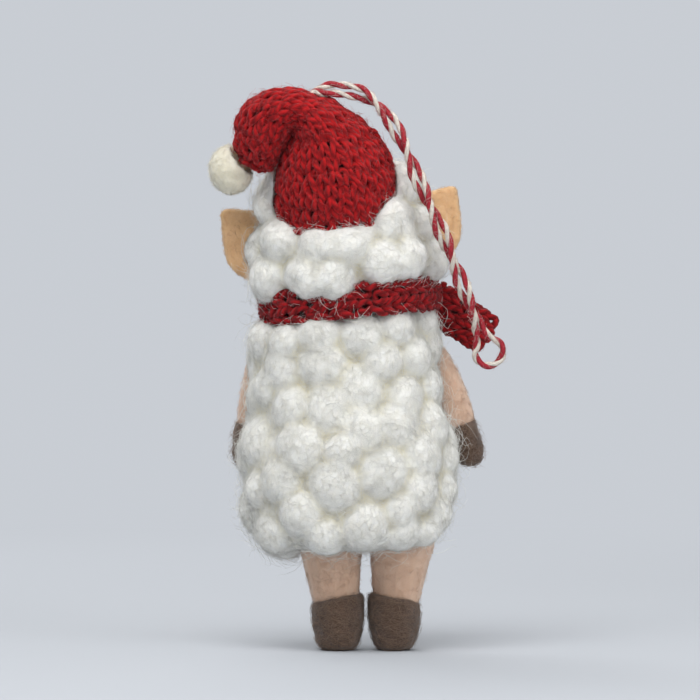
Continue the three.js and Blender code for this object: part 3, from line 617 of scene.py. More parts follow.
def tubes(name, paths, radii, sides):
    """Closed round tubes along paths of equal point counts, with UVs in metres along and turns around."""
    paths = np.asarray(paths, float)
    count, points = paths.shape[:2]
    across, over = carried_frames(paths)
    angles = np.arange(sides) * 2 * np.pi / sides
    radii = np.broadcast_to(radii, (count, points))[:, :, None, None]
    spokes = across[:, :, None] * np.cos(angles)[:, None] + over[:, :, None] * np.sin(angles)[:, None]
    vertices = (paths[:, :, None] + radii * spokes).reshape(-1, 3)
    tube, ring, side = np.meshgrid(np.arange(count), np.arange(points - 1), np.arange(sides), indexing="ij")
    start = (tube * points + ring) * sides
    after = (side + 1) % sides
    quads = np.stack([start + side, start + after, start + sides + after, start + sides + side], axis=-1)
    first = (np.arange(count) * points * sides)[:, None]
    caps = np.concatenate([first + np.arange(sides)[::-1], first + (points - 1) * sides + np.arange(sides)])
    mesh = bpy.data.meshes.new(name)
    mesh.from_pydata(vertices.tolist(), [], quads.reshape(-1, 4).tolist() + caps.tolist())
    steps = np.linalg.norm(np.diff(paths, axis=1), axis=2)
    run = np.concatenate([np.zeros((count, 1)), np.cumsum(steps, axis=1)], axis=1)
    along = np.stack([run[tube, ring], run[tube, ring], run[tube, ring + 1], run[tube, ring + 1]], axis=-1)
    around = np.stack([side, side + 1, side + 1, side], axis=-1) / sides
    uv = np.zeros((len(mesh.loops), 2))
    uv[: quads.size] = np.stack([along, around], axis=-1).reshape(-1, 2)
    mesh.uv_layers.new(name="lay").data.foreach_set("uv", uv.ravel())
    mesh.polygons.foreach_set("use_smooth", np.ones(len(mesh.polygons), bool))
    mesh.update()
    return linked(name, mesh)


def skin(name, rings):
    """A closed surface over rings of points, with its two ends drawn to a point."""
    rings = np.asarray(rings, float)
    count, sides = rings.shape[:2]
    vertices = np.concatenate([rings.reshape(-1, 3), rings[0].mean(0)[None], rings[-1].mean(0)[None]])
    ring, side = np.meshgrid(np.arange(count - 1), np.arange(sides), indexing="ij")
    after = (side + 1) % sides
    start = ring * sides
    quads = np.stack([start + side, start + after, start + sides + after, start + sides + side], axis=-1)
    last = (count - 1) * sides
    ends = [((k + 1) % sides, k, count * sides) for k in range(sides)]
    ends += [(last + k, last + (k + 1) % sides, count * sides + 1) for k in range(sides)]
    mesh = bpy.data.meshes.new(name)
    mesh.from_pydata(vertices.tolist(), [], quads.reshape(-1, 4).tolist() + ends)
    mesh.polygons.foreach_set("use_smooth", np.ones(len(mesh.polygons), bool))
    mesh.update()
    return edited(linked(name, mesh), bpy.ops.mesh.normals_make_consistent, inside=False)


# Loose fibres
def surface(piece):
    """The points and triangles of a piece, and a tree to find its surface again."""
    mesh = piece.data
    mesh.calc_loop_triangles()
    places = numbers(mesh.vertices, "co", 3)
    corners = numbers(mesh.loop_triangles, "vertices", 3, int)
    return places, corners, BVHTree.FromPolygons(places.tolist(), corners.tolist())


def spread(places, corners, count, rng):
    """Points spread evenly over triangles."""
    a, b, c = (places[corners[:, k]] for k in range(3))
    areas = np.linalg.norm(np.cross(b - a, c - a), axis=1)
    chosen = rng.choice(len(areas), count, p=areas / areas.sum())
    s, t = rng.random((2, count, 1))
    s, t = np.where(s + t > 1, 1 - s, s), np.where(s + t > 1, 1 - t, t)
    return a[chosen] + s * (b - a)[chosen] + t * (c - a)[chosen]


def fibres(name, piece, count, reach, rise, thickness, seed, segments, wound):
    """Curly loose fibres that lie over a piece or are wound round it, and lift off it, as few-sided tubes."""
    rng = np.random.default_rng(seed)
    places, corners, tree = surface(piece)
    starts = spread(places, corners, count, rng)
    along = np.linspace(0, 1, segments + 1)
    paths = np.zeros((count, segments + 1, 3))
    lengths = reach * rng.uniform(*FIBRE_LENGTHS, count)
    if wound:
        curls = rng.normal(0, WOUND_CURL, count)
    else:
        most = min(MOST_CURL, WHOLE_CURL / segments)
        curls = rng.choice((-1, 1), count) * rng.uniform(LEAST_CURL, most, count)
    lifts = rise * rng.power(LIFT_POWER, count)
    for k in range(count):
        point, normal = Vector(starts[k]), tree.find_nearest(Vector(starts[k]))[1]
        heading = Vector(rng.normal(size=3))
        if wound:
            heading = normal.cross(Vector((0, 0, 1))) + WOUND_STRAYS * heading
        for step in range(segments + 1):
            paths[k, step] = point + normal * (thickness + lifts[k] * along[step] ** LIFT_BEND)
            heading = Matrix.Rotation(curls[k] + rng.normal(0, CURL_STRAYS), 3, normal) @ heading
            heading = (heading - normal * heading.dot(normal)).normalized()
            point, normal = tree.find_nearest(point + heading * lengths[k] / segments)[:2]
    # No fibre goes through the floor
    paths[:, :, 2] = np.maximum(paths[:, :, 2], thickness)
    return tubes(name, paths, thickness / 2 * np.interp(along, *FIBRE_TAPER), FIBRE_SIDES)


# Materials
def add(tree, kind, inputs=None, **settings):
    """Adds a shader node with its settings, and sets each input to a value or links it from a socket."""
    node = tree.nodes.new("ShaderNode" + kind)
    for name, value in settings.items():
        setattr(node, name, value)
    for name, value in (inputs or {}).items():
        if isinstance(value, bpy.types.NodeSocket):
            tree.links.new(value, node.inputs[name])
        else:
            node.inputs[name].default_value = value
    return node


def new_material(name):
    """An empty material and its node tree."""
    material = bpy.data.materials.new(name)
    material.use_nodes = True
    material.node_tree.nodes.clear()
    return material, material.node_tree


def shaded(rgba, share):
    """A darker colour of the same hue."""
    return (*(share * c for c in rgba[:3]), 1.0)


# Needled wool: a matt mat of fine crossing fibres, a little paler where it catches the light on edge. Its
# fibres are 0.03 mm thick, which is too fine to show, so the fibre pattern is drawn at about 0.3 mm.
def needled_wool(name, wool, deep, patch, fibre, hollow_shade=None, glow=0.0):
    material, tree = new_material(name)
    place = add(tree, "TexCoord").outputs["Object"]
    patches = add(tree, "TexNoise", {"Vector": place, "Scale": 1 / patch, "Detail": 3.0, "Roughness": 0.6})
    crossing = {"Vector": place, "Scale": 1 / fibre, "Detail": 3.0, "Roughness": 0.7, "Distortion": 0.6}
    strands = add(tree, "TexNoise", crossing).outputs[0]
    both = add(tree, "Math", {0: patches.outputs[0], 1: strands}, operation="MULTIPLY").outputs[0]
    share = add(tree, "MapRange", {"Value": both, "From Min": 0.12, "From Max": 0.4}).outputs[0]
    tone = add(tree, "Mix", {0: share, 6: deep, 7: wool}, data_type="RGBA").outputs[2]
    # Painted shade: a darker colour mixed in by the depth of the hollows that the fleece stores
    if hollow_shade is not None:
        depth = add(tree, "Attribute", attribute_name="hollow_shade").outputs["Fac"]
        tone = add(tree, "Mix", {0: depth, 6: tone, 7: hollow_shade}, data_type="RGBA").outputs[2]
    relief = add(tree, "Bump", {"Strength": 0.5, "Distance": 0.08 * MM, "Height": strands}).outputs[0]
    inputs = {
        "Base Color": tone,
        "Subsurface Weight": glow,
        "Subsurface Radius": (1.0, 0.95, 0.85),
        "Subsurface Scale": 2.4 * MM,
        "Roughness": 0.95,
        "Specular IOR Level": 0.15,
        "Sheen Weight": 0.35,
        "Sheen Roughness": 0.6,
        "Normal": relief,
    }
    shader = add(tree, "BsdfPrincipled", inputs)
    add(tree, "OutputMaterial", {"Surface": shader.outputs[0]})
    return material


# Spun wool yarn: two soft plies, with the twist as slanting furrows painted in the deep colour as painted
# shade, and streaks of darker fibre along them.
def spun_wool(name, wool, deep):
    material, tree = new_material(name)
    lay = add(tree, "UVMap", uv_map="lay").outputs[0]
    split = add(tree, "SeparateXYZ", {0: lay}).outputs
    turns = add(tree, "Math", {0: split[0], 1: 2 * math.pi / YARN_TWIST}, operation="MULTIPLY").outputs[0]
    plies_round = add(tree, "Math", {0: split[1], 1: 4 * math.pi}, operation="MULTIPLY").outputs[0]
    phase = add(tree, "Math", {0: turns, 1: plies_round}, operation="ADD").outputs[0]
    furrow = add(tree, "Math", {0: phase}, operation="SINE").outputs[0]
    place = add(tree, "TexCoord").outputs["Object"]
    streaks = {"Vector": place, "Scale": 1 / (0.35 * MM), "Detail": 4.0, "Roughness": 0.7, "Distortion": 1.6}
    hairs = add(tree, "TexNoise", streaks).outputs[0]
    # Painted shade: the furrows of the twist take the deep colour; the noise adds real streaks of darker
    # fibre
    height = add(tree, "Math", {0: furrow, 1: 0.3, 2: hairs}, operation="MULTIPLY_ADD").outputs[0]
    share = add(tree, "MapRange", {"Value": height, "From Min": 0.2, "From Max": 0.75}).outputs[0]
    tone = add(tree, "Mix", {0: share, 6: deep, 7: wool}, data_type="RGBA").outputs[2]
    relief = add(tree, "Bump", {"Strength": 0.8, "Distance": 0.25 * MM, "Height": height}).outputs[0]
    inputs = {
        "Base Color": tone,
        "Roughness": 0.9,
        "Specular IOR Level": 0.2,
        "Sheen Weight": 0.08,
        "Sheen Roughness": 0.5,
        "Normal": relief,
    }
    shader = add(tree, "BsdfPrincipled", inputs)
    add(tree, "OutputMaterial", {"Surface": shader.outputs[0]})
    return material


# Spun cotton ply: smoother and a little glossier than wool, with fine fibres along it, drawn 0.7 mm long and
# about a ninth of the way round it.
def spun_cotton(name, cotton):
    material, tree = new_material(name)
    lay = add(tree, "UVMap", uv_map="lay").outputs[0]
    drawn_out = add(tree, "Mapping", {"Vector": lay, "Scale": (1 / (0.7 * MM), 9.0, 1.0)}).outputs[0]
    hairs = add(tree, "TexNoise", {"Vector": drawn_out, "Scale": 1.0, "Detail": 3.0}).outputs[0]
    share = add(tree, "MapRange", {"Value": hairs, "From Min": 0.25, "From Max": 0.65}).outputs[0]
    tone = add(tree, "Mix", {0: share, 6: shaded(cotton, 0.55), 7: cotton}, data_type="RGBA").outputs[2]
    relief = add(tree, "Bump", {"Strength": 0.9, "Distance": 0.18 * MM, "Height": hairs}).outputs[0]
    shader = add(tree, "BsdfPrincipled", {"Base Color": tone, "Roughness": 0.75, "Normal": relief})
    add(tree, "OutputMaterial", {"Surface": shader.outputs[0]})
    return material


# A single wool or cotton fibre: matt, with a weak sheen along it.
def loose_fibre(name, fibre):
    material, tree = new_material(name)
    place = add(tree, "TexCoord").outputs["Object"]
    patches = add(tree, "TexNoise", {"Vector": place, "Scale": 1 / (4 * MM), "Detail": 2.0}).outputs[0]
    tone = add(tree, "Mix", {0: patches, 6: shaded(fibre, 0.75), 7: fibre}, data_type="RGBA").outputs[2]
    shader = add(tree, "BsdfPrincipled", {"Base Color": tone, "Roughness": 0.7, "Sheen Weight": 0.2})
    add(tree, "OutputMaterial", {"Surface": shader.outputs[0]})
    return material


# Pressed glass bead: smooth, near black and glossy, with faint waves from the mould.
def pressed_glass(name, glass):
    material, tree = new_material(name)
    place = add(tree, "TexCoord").outputs["Object"]
    waves = add(tree, "TexNoise", {"Vector": place, "Scale": 1 / (1.2 * MM)}).outputs[0]
    relief = add(tree, "Bump", {"Strength": 0.1, "Distance": 0.05 * MM, "Height": waves}).outputs[0]
    inputs = {"Base Color": glass, "Roughness": 0.12, "IOR": 1.52, "Normal": relief}
    shader = add(tree, "BsdfPrincipled", inputs)
    add(tree, "OutputMaterial", {"Surface": shader.outputs[0]})
    return material


# Matt background paper with a faint tooth. Away from the ornament it is seen at its own colour, whatever the
# light, so the background stays even.
def backdrop_paper(name, paper):
    material, tree = new_material(name)
    place = add(tree, "TexCoord").outputs["Object"]
    tooth = add(tree, "TexNoise", {"Vector": place, "Scale": 1 / (1.5 * MM), "Detail": 2.0}).outputs[0]
    relief = add(tree, "Bump", {"Strength": 0.05, "Distance": 0.1 * MM, "Height": tooth}).outputs[0]
    lit = add(tree, "BsdfDiffuse", {"Color": paper, "Normal": relief}).outputs[0]
    even = add(tree, "Emission", {"Color": paper, "Strength": 1.2}).outputs[0]
    away = add(tree, "VectorMath", {0: place}, operation="LENGTH").outputs["Value"]
    edges = {"Value": away, "From Min": 0.08, "From Max": 0.6}
    far = add(tree, "MapRange", edges, interpolation_type="SMOOTHSTEP").outputs[0]
    rays = add(tree, "LightPath").outputs
    seen = rays["Is Camera Ray"]
    for kind in ("Is Glossy Ray", "Is Transmission Ray"):
        seen = add(tree, "Math", {0: seen, 1: rays[kind]}, operation="MAXIMUM").outputs[0]
    share = add(tree, "Math", {0: far, 1: seen}, operation="MULTIPLY").outputs[0]
    shader = add(tree, "MixShader", {0: share, 1: lit, 2: even})
    add(tree, "OutputMaterial", {"Surface": shader.outputs[0]})
    return material


def finish(piece, material):
    """Gives a piece its material."""
    piece.data.materials.clear()
    piece.data.materials.append(material)
    return piece


# Fleece
def barrel(share, squareness):
    """How full a barrel is at a share of its height: higher squareness is more like a cylinder."""
    return np.power(np.clip(1 - np.abs(2 * share - 1) ** squareness, 0, 1), 1 / squareness)


def rounded(low, high, at):
    """A smooth step from 0 to 1."""
    t = np.clip((at - low) / (high - low), 0, 1)
    return t * t * (3 - 2 * t)


class BodyShape:
    """The body's barrel under its bobbles, its top leaning with the neck."""

    middle = BODY_MIDDLE

    def bare(self, across, along):
        """Points of the barrel: turns round it and shares of its height."""
        full = barrel(along, BODY_SQUARENESS[(along > 0.5).astype(int)])
        full = full * (1 + (CHEST_SHARE - 1) * rounded(*CHEST_SPAN, along))
        angle = 2 * np.pi * across
        spokes = BODY_HALVES * np.stack([full * np.cos(angle), full * np.sin(angle), 2 * along - 1], axis=1)
        spokes[:, 2] -= math.tan(HEAD_TILT) * rounded(*SHOULDER_SPAN, along) * spokes[:, 0]
        spokes[:, 0] += CHEST_TO_LEFT * rounded(*CHEST_TO_LEFT_SPAN, along)
        return self.middle + spokes


class HeadShape:
    """The head's rounded form under its tufts, leaning with the neck."""

    middle = NECK + HEAD_TURN @ np.array([0, 0, HEAD_RISE])

    def bare(self, across, along):
        """Points of the head: turns round it and shares of its height."""
        full = barrel(along, HEAD_SQUARENESS) * (1 + (CROWN_SHARE - 1) * rounded(*CROWN_SPAN, along))
        angle = 2 * np.pi * across
        spokes = HEAD_HALVES * np.stack([full * np.cos(angle), full * np.sin(angle), 2 * along - 1], axis=1)
        return self.middle + spokes @ HEAD_TURN.T


def puffs_on(shape, listed, count, radius):
    """Puffs of wool on a form: the listed ones on its back, and others all round where there is room."""
    across, along, sizes = np.array(listed).T
    sizes = sizes * MM
    places = shape.bare(np.arccos(across) / (2 * np.pi), along)
    number = np.arange(count)
    others = shape.bare(number * GOLDEN_TURN, (number + 0.5) / count)
    away = np.linalg.norm(others[:, None] - places, axis=2)
    others = others[np.all(away > PUFF_ROOM * (sizes + radius), axis=1)]
    return np.concatenate([places, others]), np.concatenate([sizes, np.full(len(others), radius)])


def puffed(name, shape, puffs, proud, sides, rings):
    """A closed form with a soft dome of wool raised on it for each puff."""
    places, sizes = puffs
    turns = np.arange(sides) / sides
    made = []
    for share in (1 - np.cos(np.pi * np.linspace(POLE_SHARE, 1 - POLE_SHARE, rings))) / 2:
        along = np.full(sides, share)
        points = shape.bare(turns, along)
        away = np.linalg.norm(points[:, None] - places, axis=2) / sizes
        domes = np.clip(1 - away**2, 0, 1)
        height = proud * np.sum(domes**PUFF_SOFTNESS, axis=1) ** (1 / PUFF_SOFTNESS)
        made.append(points + height[:, None] * outward_normals(shape.bare, turns, along, shape.middle))
    return skin(name, made)


def mark_hollows(piece, depth):
    """Stores how deep each point lies in the hollows, measured against the same surface smoothed out, as the
    mask of the shade painted in the hollows.
    """
    mesh = piece.data
    count = len(mesh.vertices)
    places = numbers(mesh.vertices, "co", 3)
    normals = numbers(mesh.vertices, "normal", 3)
    a, b = numbers(mesh.edges, "vertices", 2, int).T
    valence = np.maximum(np.bincount(np.concatenate([a, b]), minlength=count), 1)
    flat = places.copy()
    for _ in range(HOLLOW_ROUNDS):
        sums = np.zeros((count, 3))
        for k in range(3):
            sums[:, k] = np.bincount(a, flat[b, k], minlength=count)
            sums[:, k] += np.bincount(b, flat[a, k], minlength=count)
        flat = OWN_SHARE * flat + NEIGHBOURS_SHARE * sums / valence[:, None]
    below = np.sum((flat - places) * normals, axis=1)
    hollow_shade = mesh.attributes.new("hollow_shade", "FLOAT", "POINT")
    hollow_shade.data.foreach_set("value", rounded(HOLLOW_EDGE * depth, depth, below).astype(np.float32))


class ORNAMENT_OT_body_fleece(bpy.types.Operator):
    """Felts the body's fleece of round bobbles, with room for the arms, legs and scarf"""

    bl_idname = "ornament.body_fleece"
    bl_label = "Body fleece"

    def execute(self, context):
        settings = context.scene.ornament_fleece
        shape = BodyShape()
        bobbles = puffs_on(shape, BACK_BOBBLES, BOBBLES, settings.bobble)
        fleece = puffed("body_fleece_wool", shape, bobbles, BOBBLE_PROUD, sides=240, rings=150)
        rooms = []
        for side in SIDES:
            rooms += swept((f"arm_{side}", f"hand_hoof_{side}"), f"arm_{side}_swing")
            rooms += swept((f"leg_{side}",), f"leg_{side}_swing")
        # The right leg stands at the edge of the fleece, so no wool is left outside it
        outside = swept(("leg_right",), "leg_right_swing")
        for room in outside:
            room.data.transform(Matrix.Translation((-RIGHT_LEG_ROOM, 0, 0)))
        rooms += outside
        for node, joint_name, *_ in SCARF_ENDS:
            rooms += swept((node,), joint_name)
        cut_away(fleece, rooms, ROOM_CLEARANCE)
        lumps = ((3.5 * MM, 0.5 * MM), (1.3 * MM, 0.12 * MM))
        felted(fleece, FLEECE_VOXEL, softening=6, lumps=lumps)
        mark_hollows(fleece, depth=0.8 * MM)
        wool = settings.wool
        # White wool, painted a darker cream in its hollows as painted shade
        white = needled_wool(
            "white needled wool", wool, wool, patch=6 * MM, fibre=0.3 * MM, hollow_shade=settings.hollow_shade, glow=0.7
        )
        finish(fleece, white)
        dress(fleece, "sheep", ("body_fleece", "body_core"))
        return {"FINISHED"}


class ORNAMENT_OT_head_fleece(bpy.types.Operator):
    """Felts the head's fleece of large soft tufts, and the neck under it"""

    bl_idname = "ornament.head_fleece"
    bl_label = "Head fleece"

    def execute(self, context):
        settings = context.scene.ornament_fleece
        shape = HeadShape()
        tufts = puffs_on(shape, BACK_TUFTS, TUFTS, settings.tuft)
        fleece = puffed("head_fleece_wool", shape, tufts, TUFT_PROUD, sides=200, rings=100)
        fleece = join([fleece, copied("head_core", "neck")])
        worked(fleece, "REMESH", mode="VOXEL", voxel_size=FLEECE_VOXEL)
        hat_room = HatShape().lining("room", HAT_ROOM_START, FOLD_SECTION, inset=-HAT_ROOM_PROUD)
        rooms = [copied("face", "room"), hat_room]
        rooms += swept(("scarf_side_end",), "scarf_side_lift")
        cut_away(fleece, rooms, HEAD_ROOM_CLEARANCE)
        lumps = ((6 * MM, 1.5 * MM), (1.8 * MM, 0.22 * MM))
        felted(fleece, FLEECE_VOXEL, softening=8, lumps=lumps)
        mark_hollows(fleece, depth=0.9 * MM)
        finish(fleece, bpy.data.materials["white needled wool"])
        dress(fleece, "sheep", ("head_fleece", "head_core"))
        return {"FINISHED"}


# Limbs, ears and face
def foot_hoof(side):
    """A soft hoof that narrows down to its sole, in the place of its CAD node."""
    low, high = (np.array(corner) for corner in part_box(f"foot_hoof_{side}"))
    middle, halves = (low + high) / 2, (high - low) / 2
    inwards = -1 if side == "left" else 1
    angle = np.arange(HOOF_SIDES) * 2 * np.pi / HOOF_SIDES
    rings = []
    for share, height in HOOF_PROFILE:
        ring = share * halves * np.stack([np.cos(angle), np.sin(angle), 0 * angle], axis=1)
        slant = rounded(*HOOF_SLANT_SPAN, height) * HOOF_SLANT * inwards
        ring[:, 2] = 2 * height * halves[2] + slant * ring[:, 0]
        rings.append(ring + np.array([middle[0], middle[1], low[2] + SOLE_LIFT]))
    return skin(f"foot_hoof_{side}_wool", rings)


class ORNAMENT_OT_limbs(bpy.types.Operator):
    """Felts the arms and legs in tan wool and their hooves in brown"""

    bl_idname = "ornament.limbs"
    bl_label = "Arms and legs"

    def execute(self, context):
        felt = context.scene.ornament_felt
        skin_wool = needled_wool(
            "tan needled wool", felt.skin, felt.skin_deep, patch=5 * MM, fibre=0.3 * MM, glow=0.5
        )
        hoof_wool = needled_wool(
            "brown needled wool", felt.hoof, felt.hoof_deep, patch=2.5 * MM, fibre=0.35 * MM
        )
        for limb, hoof in (("arm", "hand_hoof"), ("leg", "foot_hoof")):
            for side in SIDES:
                body = f"{limb}_{side}"
                wool = copied(body, body + "_wool")
                felted(wool, voxel=0.4 * MM, softening=8, lumps=((4 * MM, 0.4 * MM),))
                if limb == "arm":
                    bowed(wool, ARM_BOWS[side])
                dress(finish(wool, skin_wool), body, (body,))
                node = f"{hoof}_{side}"
                wool = foot_hoof(side) if hoof == "foot_hoof" else copied(node, node + "_wool")
                felted(wool, voxel=0.4 * MM, softening=12, lumps=((2.5 * MM, 0.5 * MM),))
                dress(finish(wool, hoof_wool), body, (node,))
        return {"FINISHED"}


class ORNAMENT_OT_ears(bpy.types.Operator):
    """Cuts the ears from sheet felt"""

    bl_idname = "ornament.ears"
    bl_label = "Ears"

    def execute(self, context):
        felt = context.scene.ornament_felt
        sheet_felt = needled_wool(
            "pressed sheet felt", felt.ear, felt.ear_deep, patch=4 * MM, fibre=0.28 * MM, glow=0.5
        )
        for side in SIDES:
            ear = copied(f"ear_{side}", f"ear_{side}_felt")
            felted(ear, voxel=0.3 * MM, softening=10, lumps=((8 * MM, 0.4 * MM), (2.5 * MM, 0.2 * MM)))
            worked(ear, "DISPLACE", mid_level=0, strength=0.3 * MM)
            dress(finish(ear, sheet_felt), "sheep", (f"ear_{side}",))
        return {"FINISHED"}


class ORNAMENT_OT_face(bpy.types.Operator):
    """Felts the face and its nose, and sews on the eyes and mouth"""

    bl_idname = "ornament.face"
    bl_label = "Face"

    def execute(self, context):
        felt = context.scene.ornament_felt
        lumps = ((3 * MM, 0.4 * MM), (0.9 * MM, 0.16 * MM))
        face = felted(copied("face", "face_wool"), voxel=0.4 * MM, softening=6, lumps=lumps)
        dress(finish(face, bpy.data.materials["tan needled wool"]), "sheep", ("face",))
        lumps = ((0.8 * MM, 0.15 * MM),)
        nose = felted(copied("nose", "nose_wool_pad"), voxel=0.2 * MM, softening=3, lumps=lumps)
        nose_wool = needled_wool(
            "pink needled wool", felt.nose, felt.nose_deep, patch=2 * MM, fibre=0.25 * MM
        )
        dress(finish(nose, nose_wool), "sheep", ("nose",))
        glass = pressed_glass("pressed black glass", felt.bead)
        for side in SIDES:
            bead = copied(f"eye_{side}", f"eye_{side}_bead")
            worked(bead, "SUBSURF", levels=2, render_levels=2)
            only(bead)
            bpy.ops.object.shade_smooth()
            dress(finish(bead, glass), "sheep", (f"eye_{side}",))
        self.sew_mouth(face, felt)
        return {"FINISHED"}

    def sew_mouth(self, face, felt):
        """Two curved stitches under the nose and one straight one between."""
        low, high = (np.array(corner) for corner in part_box("nose"))
        tree = surface(face)[2]
        middle = np.array([(low[0] + high[0]) / 2, low[1], low[2]])
        threads = []
        for route in MOUTH_ROUTES:
            points = []
            for across, up in route:
                near, normal = tree.find_nearest(Vector(middle + np.array([across, 0, up]) * MM))[:2]
                points.append(near + normal * MOUTH_PROUD)
            threads.append(even_line(points, count=12))
        mouth = tubes("mouth_stitch", threads, MOUTH_THREAD / 2, sides=8)
        cotton = spun_cotton("brown cotton thread", felt.mouth)
        dress(finish(mouth, cotton), "sheep", ())


# Knitting
def course(place, stitches, row, step, depth, rng):
    """The yarn of one course: loops that lean out, reach into the next rows and bring their legs forward."""
    turn = np.linspace(0, 2 * np.pi * stitches, stitches * LOOP_POINTS + 1)
    wander = rng.normal(size=(3, stitches + 1))
    wander[:, -1] = wander[:, 0]
    fuller, drift, lift = (np.interp(turn, np.arange(stitches + 1) * 2 * np.pi, values) for values in wander)
    fuller = 1 + LOOP_UNEVEN * fuller
    across = (turn / (2 * np.pi) + LOOP_LEAN * fuller * np.sin(2 * turn)) / stitches
    along = row - step * (LOOP_REACH * fuller * np.cos(turn) + LOOP_UNEVEN * drift)
    points, normals = place(across, along)
    return points + normals * (depth * (LOOP_LIFT * lift - np.cos(2 * turn)))[:, None]


def knitted(name, courses, yarn):
    """The yarn of a cloth as one mesh of tubes."""
    by_length = {}
    for line in courses:
        by_length.setdefault(len(line), []).append(line)
    return join([tubes(name, lines, yarn / 2, YARN_SIDES) for lines in by_length.values()])


class HatShape:
    """The hat's cloth from its brim over the fold to its tip."""

    def __init__(self):
        self.fold = np.array(JOINTS["hat_tail_lift"]["pos_m"])

    def parts(self, along):
        """The middle of the sections, their half width to the crease and their half depth to the back."""
        along = np.clip(along, 0, len(HAT_SECTIONS) - 1)
        crease_x, crease_z, outer_x, outer_z, behind, depth, tip = smooth(HAT_SECTIONS, along).T
        crease = np.stack([crease_x, np.zeros_like(behind), crease_z], axis=1) * MM
        outer = np.stack([outer_x, np.zeros_like(behind), outer_z], axis=1) * MM
        width = (crease - outer) / 2
        middle = self.fold + (crease + outer) / 2
        middle[:, 1] += behind * MM
        ahead = unit(np.stack([-width[:, 2], np.zeros_like(behind), width[:, 0]], axis=1))
        lean = np.radians(tip)[:, None]
        back = (np.cos(lean) * np.array([0, 1, 0]) - np.sin(lean) * ahead) * (depth * MM)[:, None]
        return middle, width, back

    def bare(self, across, along):
        """Points of the cloth: turns round it from its front, and sections along it."""
        middle, width, back = self.parts(along)
        angle = (2 * np.pi * across)[:, None]
        return middle - back * np.cos(angle) + width * np.sin(angle)

    def place(self, across, along):
        """Points of the cloth and their normals."""
        middle = self.parts(along)[0]
        normals = outward_normals(self.bare, across, along, middle)
        return self.bare(across, along) - HAT_INSET * normals, normals

    def girth(self, along):
        """The length round the cloth at a section."""
        ring = self.bare(np.linspace(0, 1, GIRTH_POINTS), np.full(GIRTH_POINTS, along))
        return np.linalg.norm(np.diff(ring, axis=0), axis=1).sum()

    def lining(self, name, start, end, inset):
        """A closed surface just inside the cloth."""
        turns = np.linspace(0, 1, LINING_SIDES, endpoint=False)
        rings = []
        for along in np.linspace(start, end, LINING_RINGS):
            points, normals = self.place(turns, np.full(len(turns), along))
            rings.append(points - normals * inset)
        return skin(name, rings)


def hat_part(name, shape, start, end, rows, knit, rng):
    """The knitting of the hat between two sections, with the shaded cloth behind it."""
    step = (end - start) / rows
    courses = []
    for k in range(rows):
        row = start + (k + 0.5) * step
        stitches = max(LEAST_STITCHES, STITCH_GROUP * round(shape.girth(row) / knit.stitch / STITCH_GROUP))
        courses.append(course(shape.place, stitches, row, step, knit.depth, rng))
    yarn = finish(knitted(name, courses, knit.yarn), bpy.data.materials["red spun wool"])
    lining = shape.lining(name + "_lining", start, end, inset=LINING_SHARE * knit.yarn)
    return join([yarn, finish(lining, bpy.data.materials["red wool in shade"])])


class ORNAMENT_OT_hat(bpy.types.Operator):
    """Knits the hat in one piece from brim to tip and felts its ball"""

    bl_idname = "ornament.hat"
    bl_label = "Hat"

    def execute(self, context):
        knit = context.scene.ornament_knit
        felt = context.scene.ornament_felt
        rng = np.random.default_rng(SEED + 2)
        spun_wool("red spun wool", knit.red, knit.red_streaks_and_shade)
        needled_wool("red wool in shade", knit.hollow_shade, knit.hollow_shade, patch=3 * MM, fibre=0.3 * MM)
        shape = HatShape()
        last = len(HAT_SECTIONS) - 1
        crown = hat_part("hat_crown_knit", shape, 0, FOLD_SECTION, CROWN_ROWS, knit, rng)
        dress(crown, "sheep", ("hat_crown", "hat_stuffing"))
        tail = hat_part("hat_tail_knit", shape, FOLD_SECTION, last, TAIL_ROWS, knit, rng)
        hang_tail(tail)
        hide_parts("hat_tail")
        ball = stretched(copied("pompom", "hat_ball_wool"), BALL_SHARES)
        felted(ball, voxel=0.35 * MM, softening=8, lumps=((4 * MM, 0.25 * MM),))
        cream = needled_wool(
            "cream needled wool", felt.ball, felt.ball_deep, patch=5 * MM, fibre=0.3 * MM, glow=0.6
        )
        dress(finish(ball, cream), "hat_tail", ("pompom",))
        return {"FINISHED"}


def hang_tail(piece):
    """Bakes the placing of a piece of the hat's tail into its mesh."""
    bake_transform(piece)


class ScarfShape:
    """The scarf's band round the neck, across its width and along it."""

    def bare(self, across, along):
        """Points of the band: shares of its width and turns round the neck."""
        angle = 2 * np.pi * along
        rise = SCARF_RISE + SCARF_BAND * (across - 0.5)
        roll = SCARF_ROLL * np.abs(2 * across - 1) ** 4
        x = (SCARF_HALF_WIDTH - roll) * np.sin(angle)
        y = -(SCARF_HALF_DEPTH - roll) * np.cos(angle)
        return NECK + np.stack([x, y, rise], axis=1) @ HEAD_TURN.T

    def place(self, across, along):
        """Points of the band and their normals."""
        return self.bare(across, along), outward_normals(self.bare, across, along, NECK)


class KnotShape:
    """The knot: a short band drawn round the scarf."""

    def __init__(self):
        low, high = (np.array(corner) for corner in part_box("scarf_knot"))
        self.middle = (low + high) / 2

    def bare(self, across, along):
        """Points of the knot: shares of its height and turns round it."""
        angle = 2 * np.pi * along
        full = np.cos(KNOT_WRAP * np.pi * (across - 0.5)) ** KNOT_FULLNESS
        rise = np.sin(KNOT_WRAP * np.pi * (across - 0.5))
        return self.middle + KNOT_HALF * np.stack([np.sin(angle) * full, -np.cos(angle) * full, rise], axis=1)

    def place(self, across, along):
        """Points of the knot and their normals."""
        return self.bare(across, along), outward_normals(self.bare, across, along, self.middle)


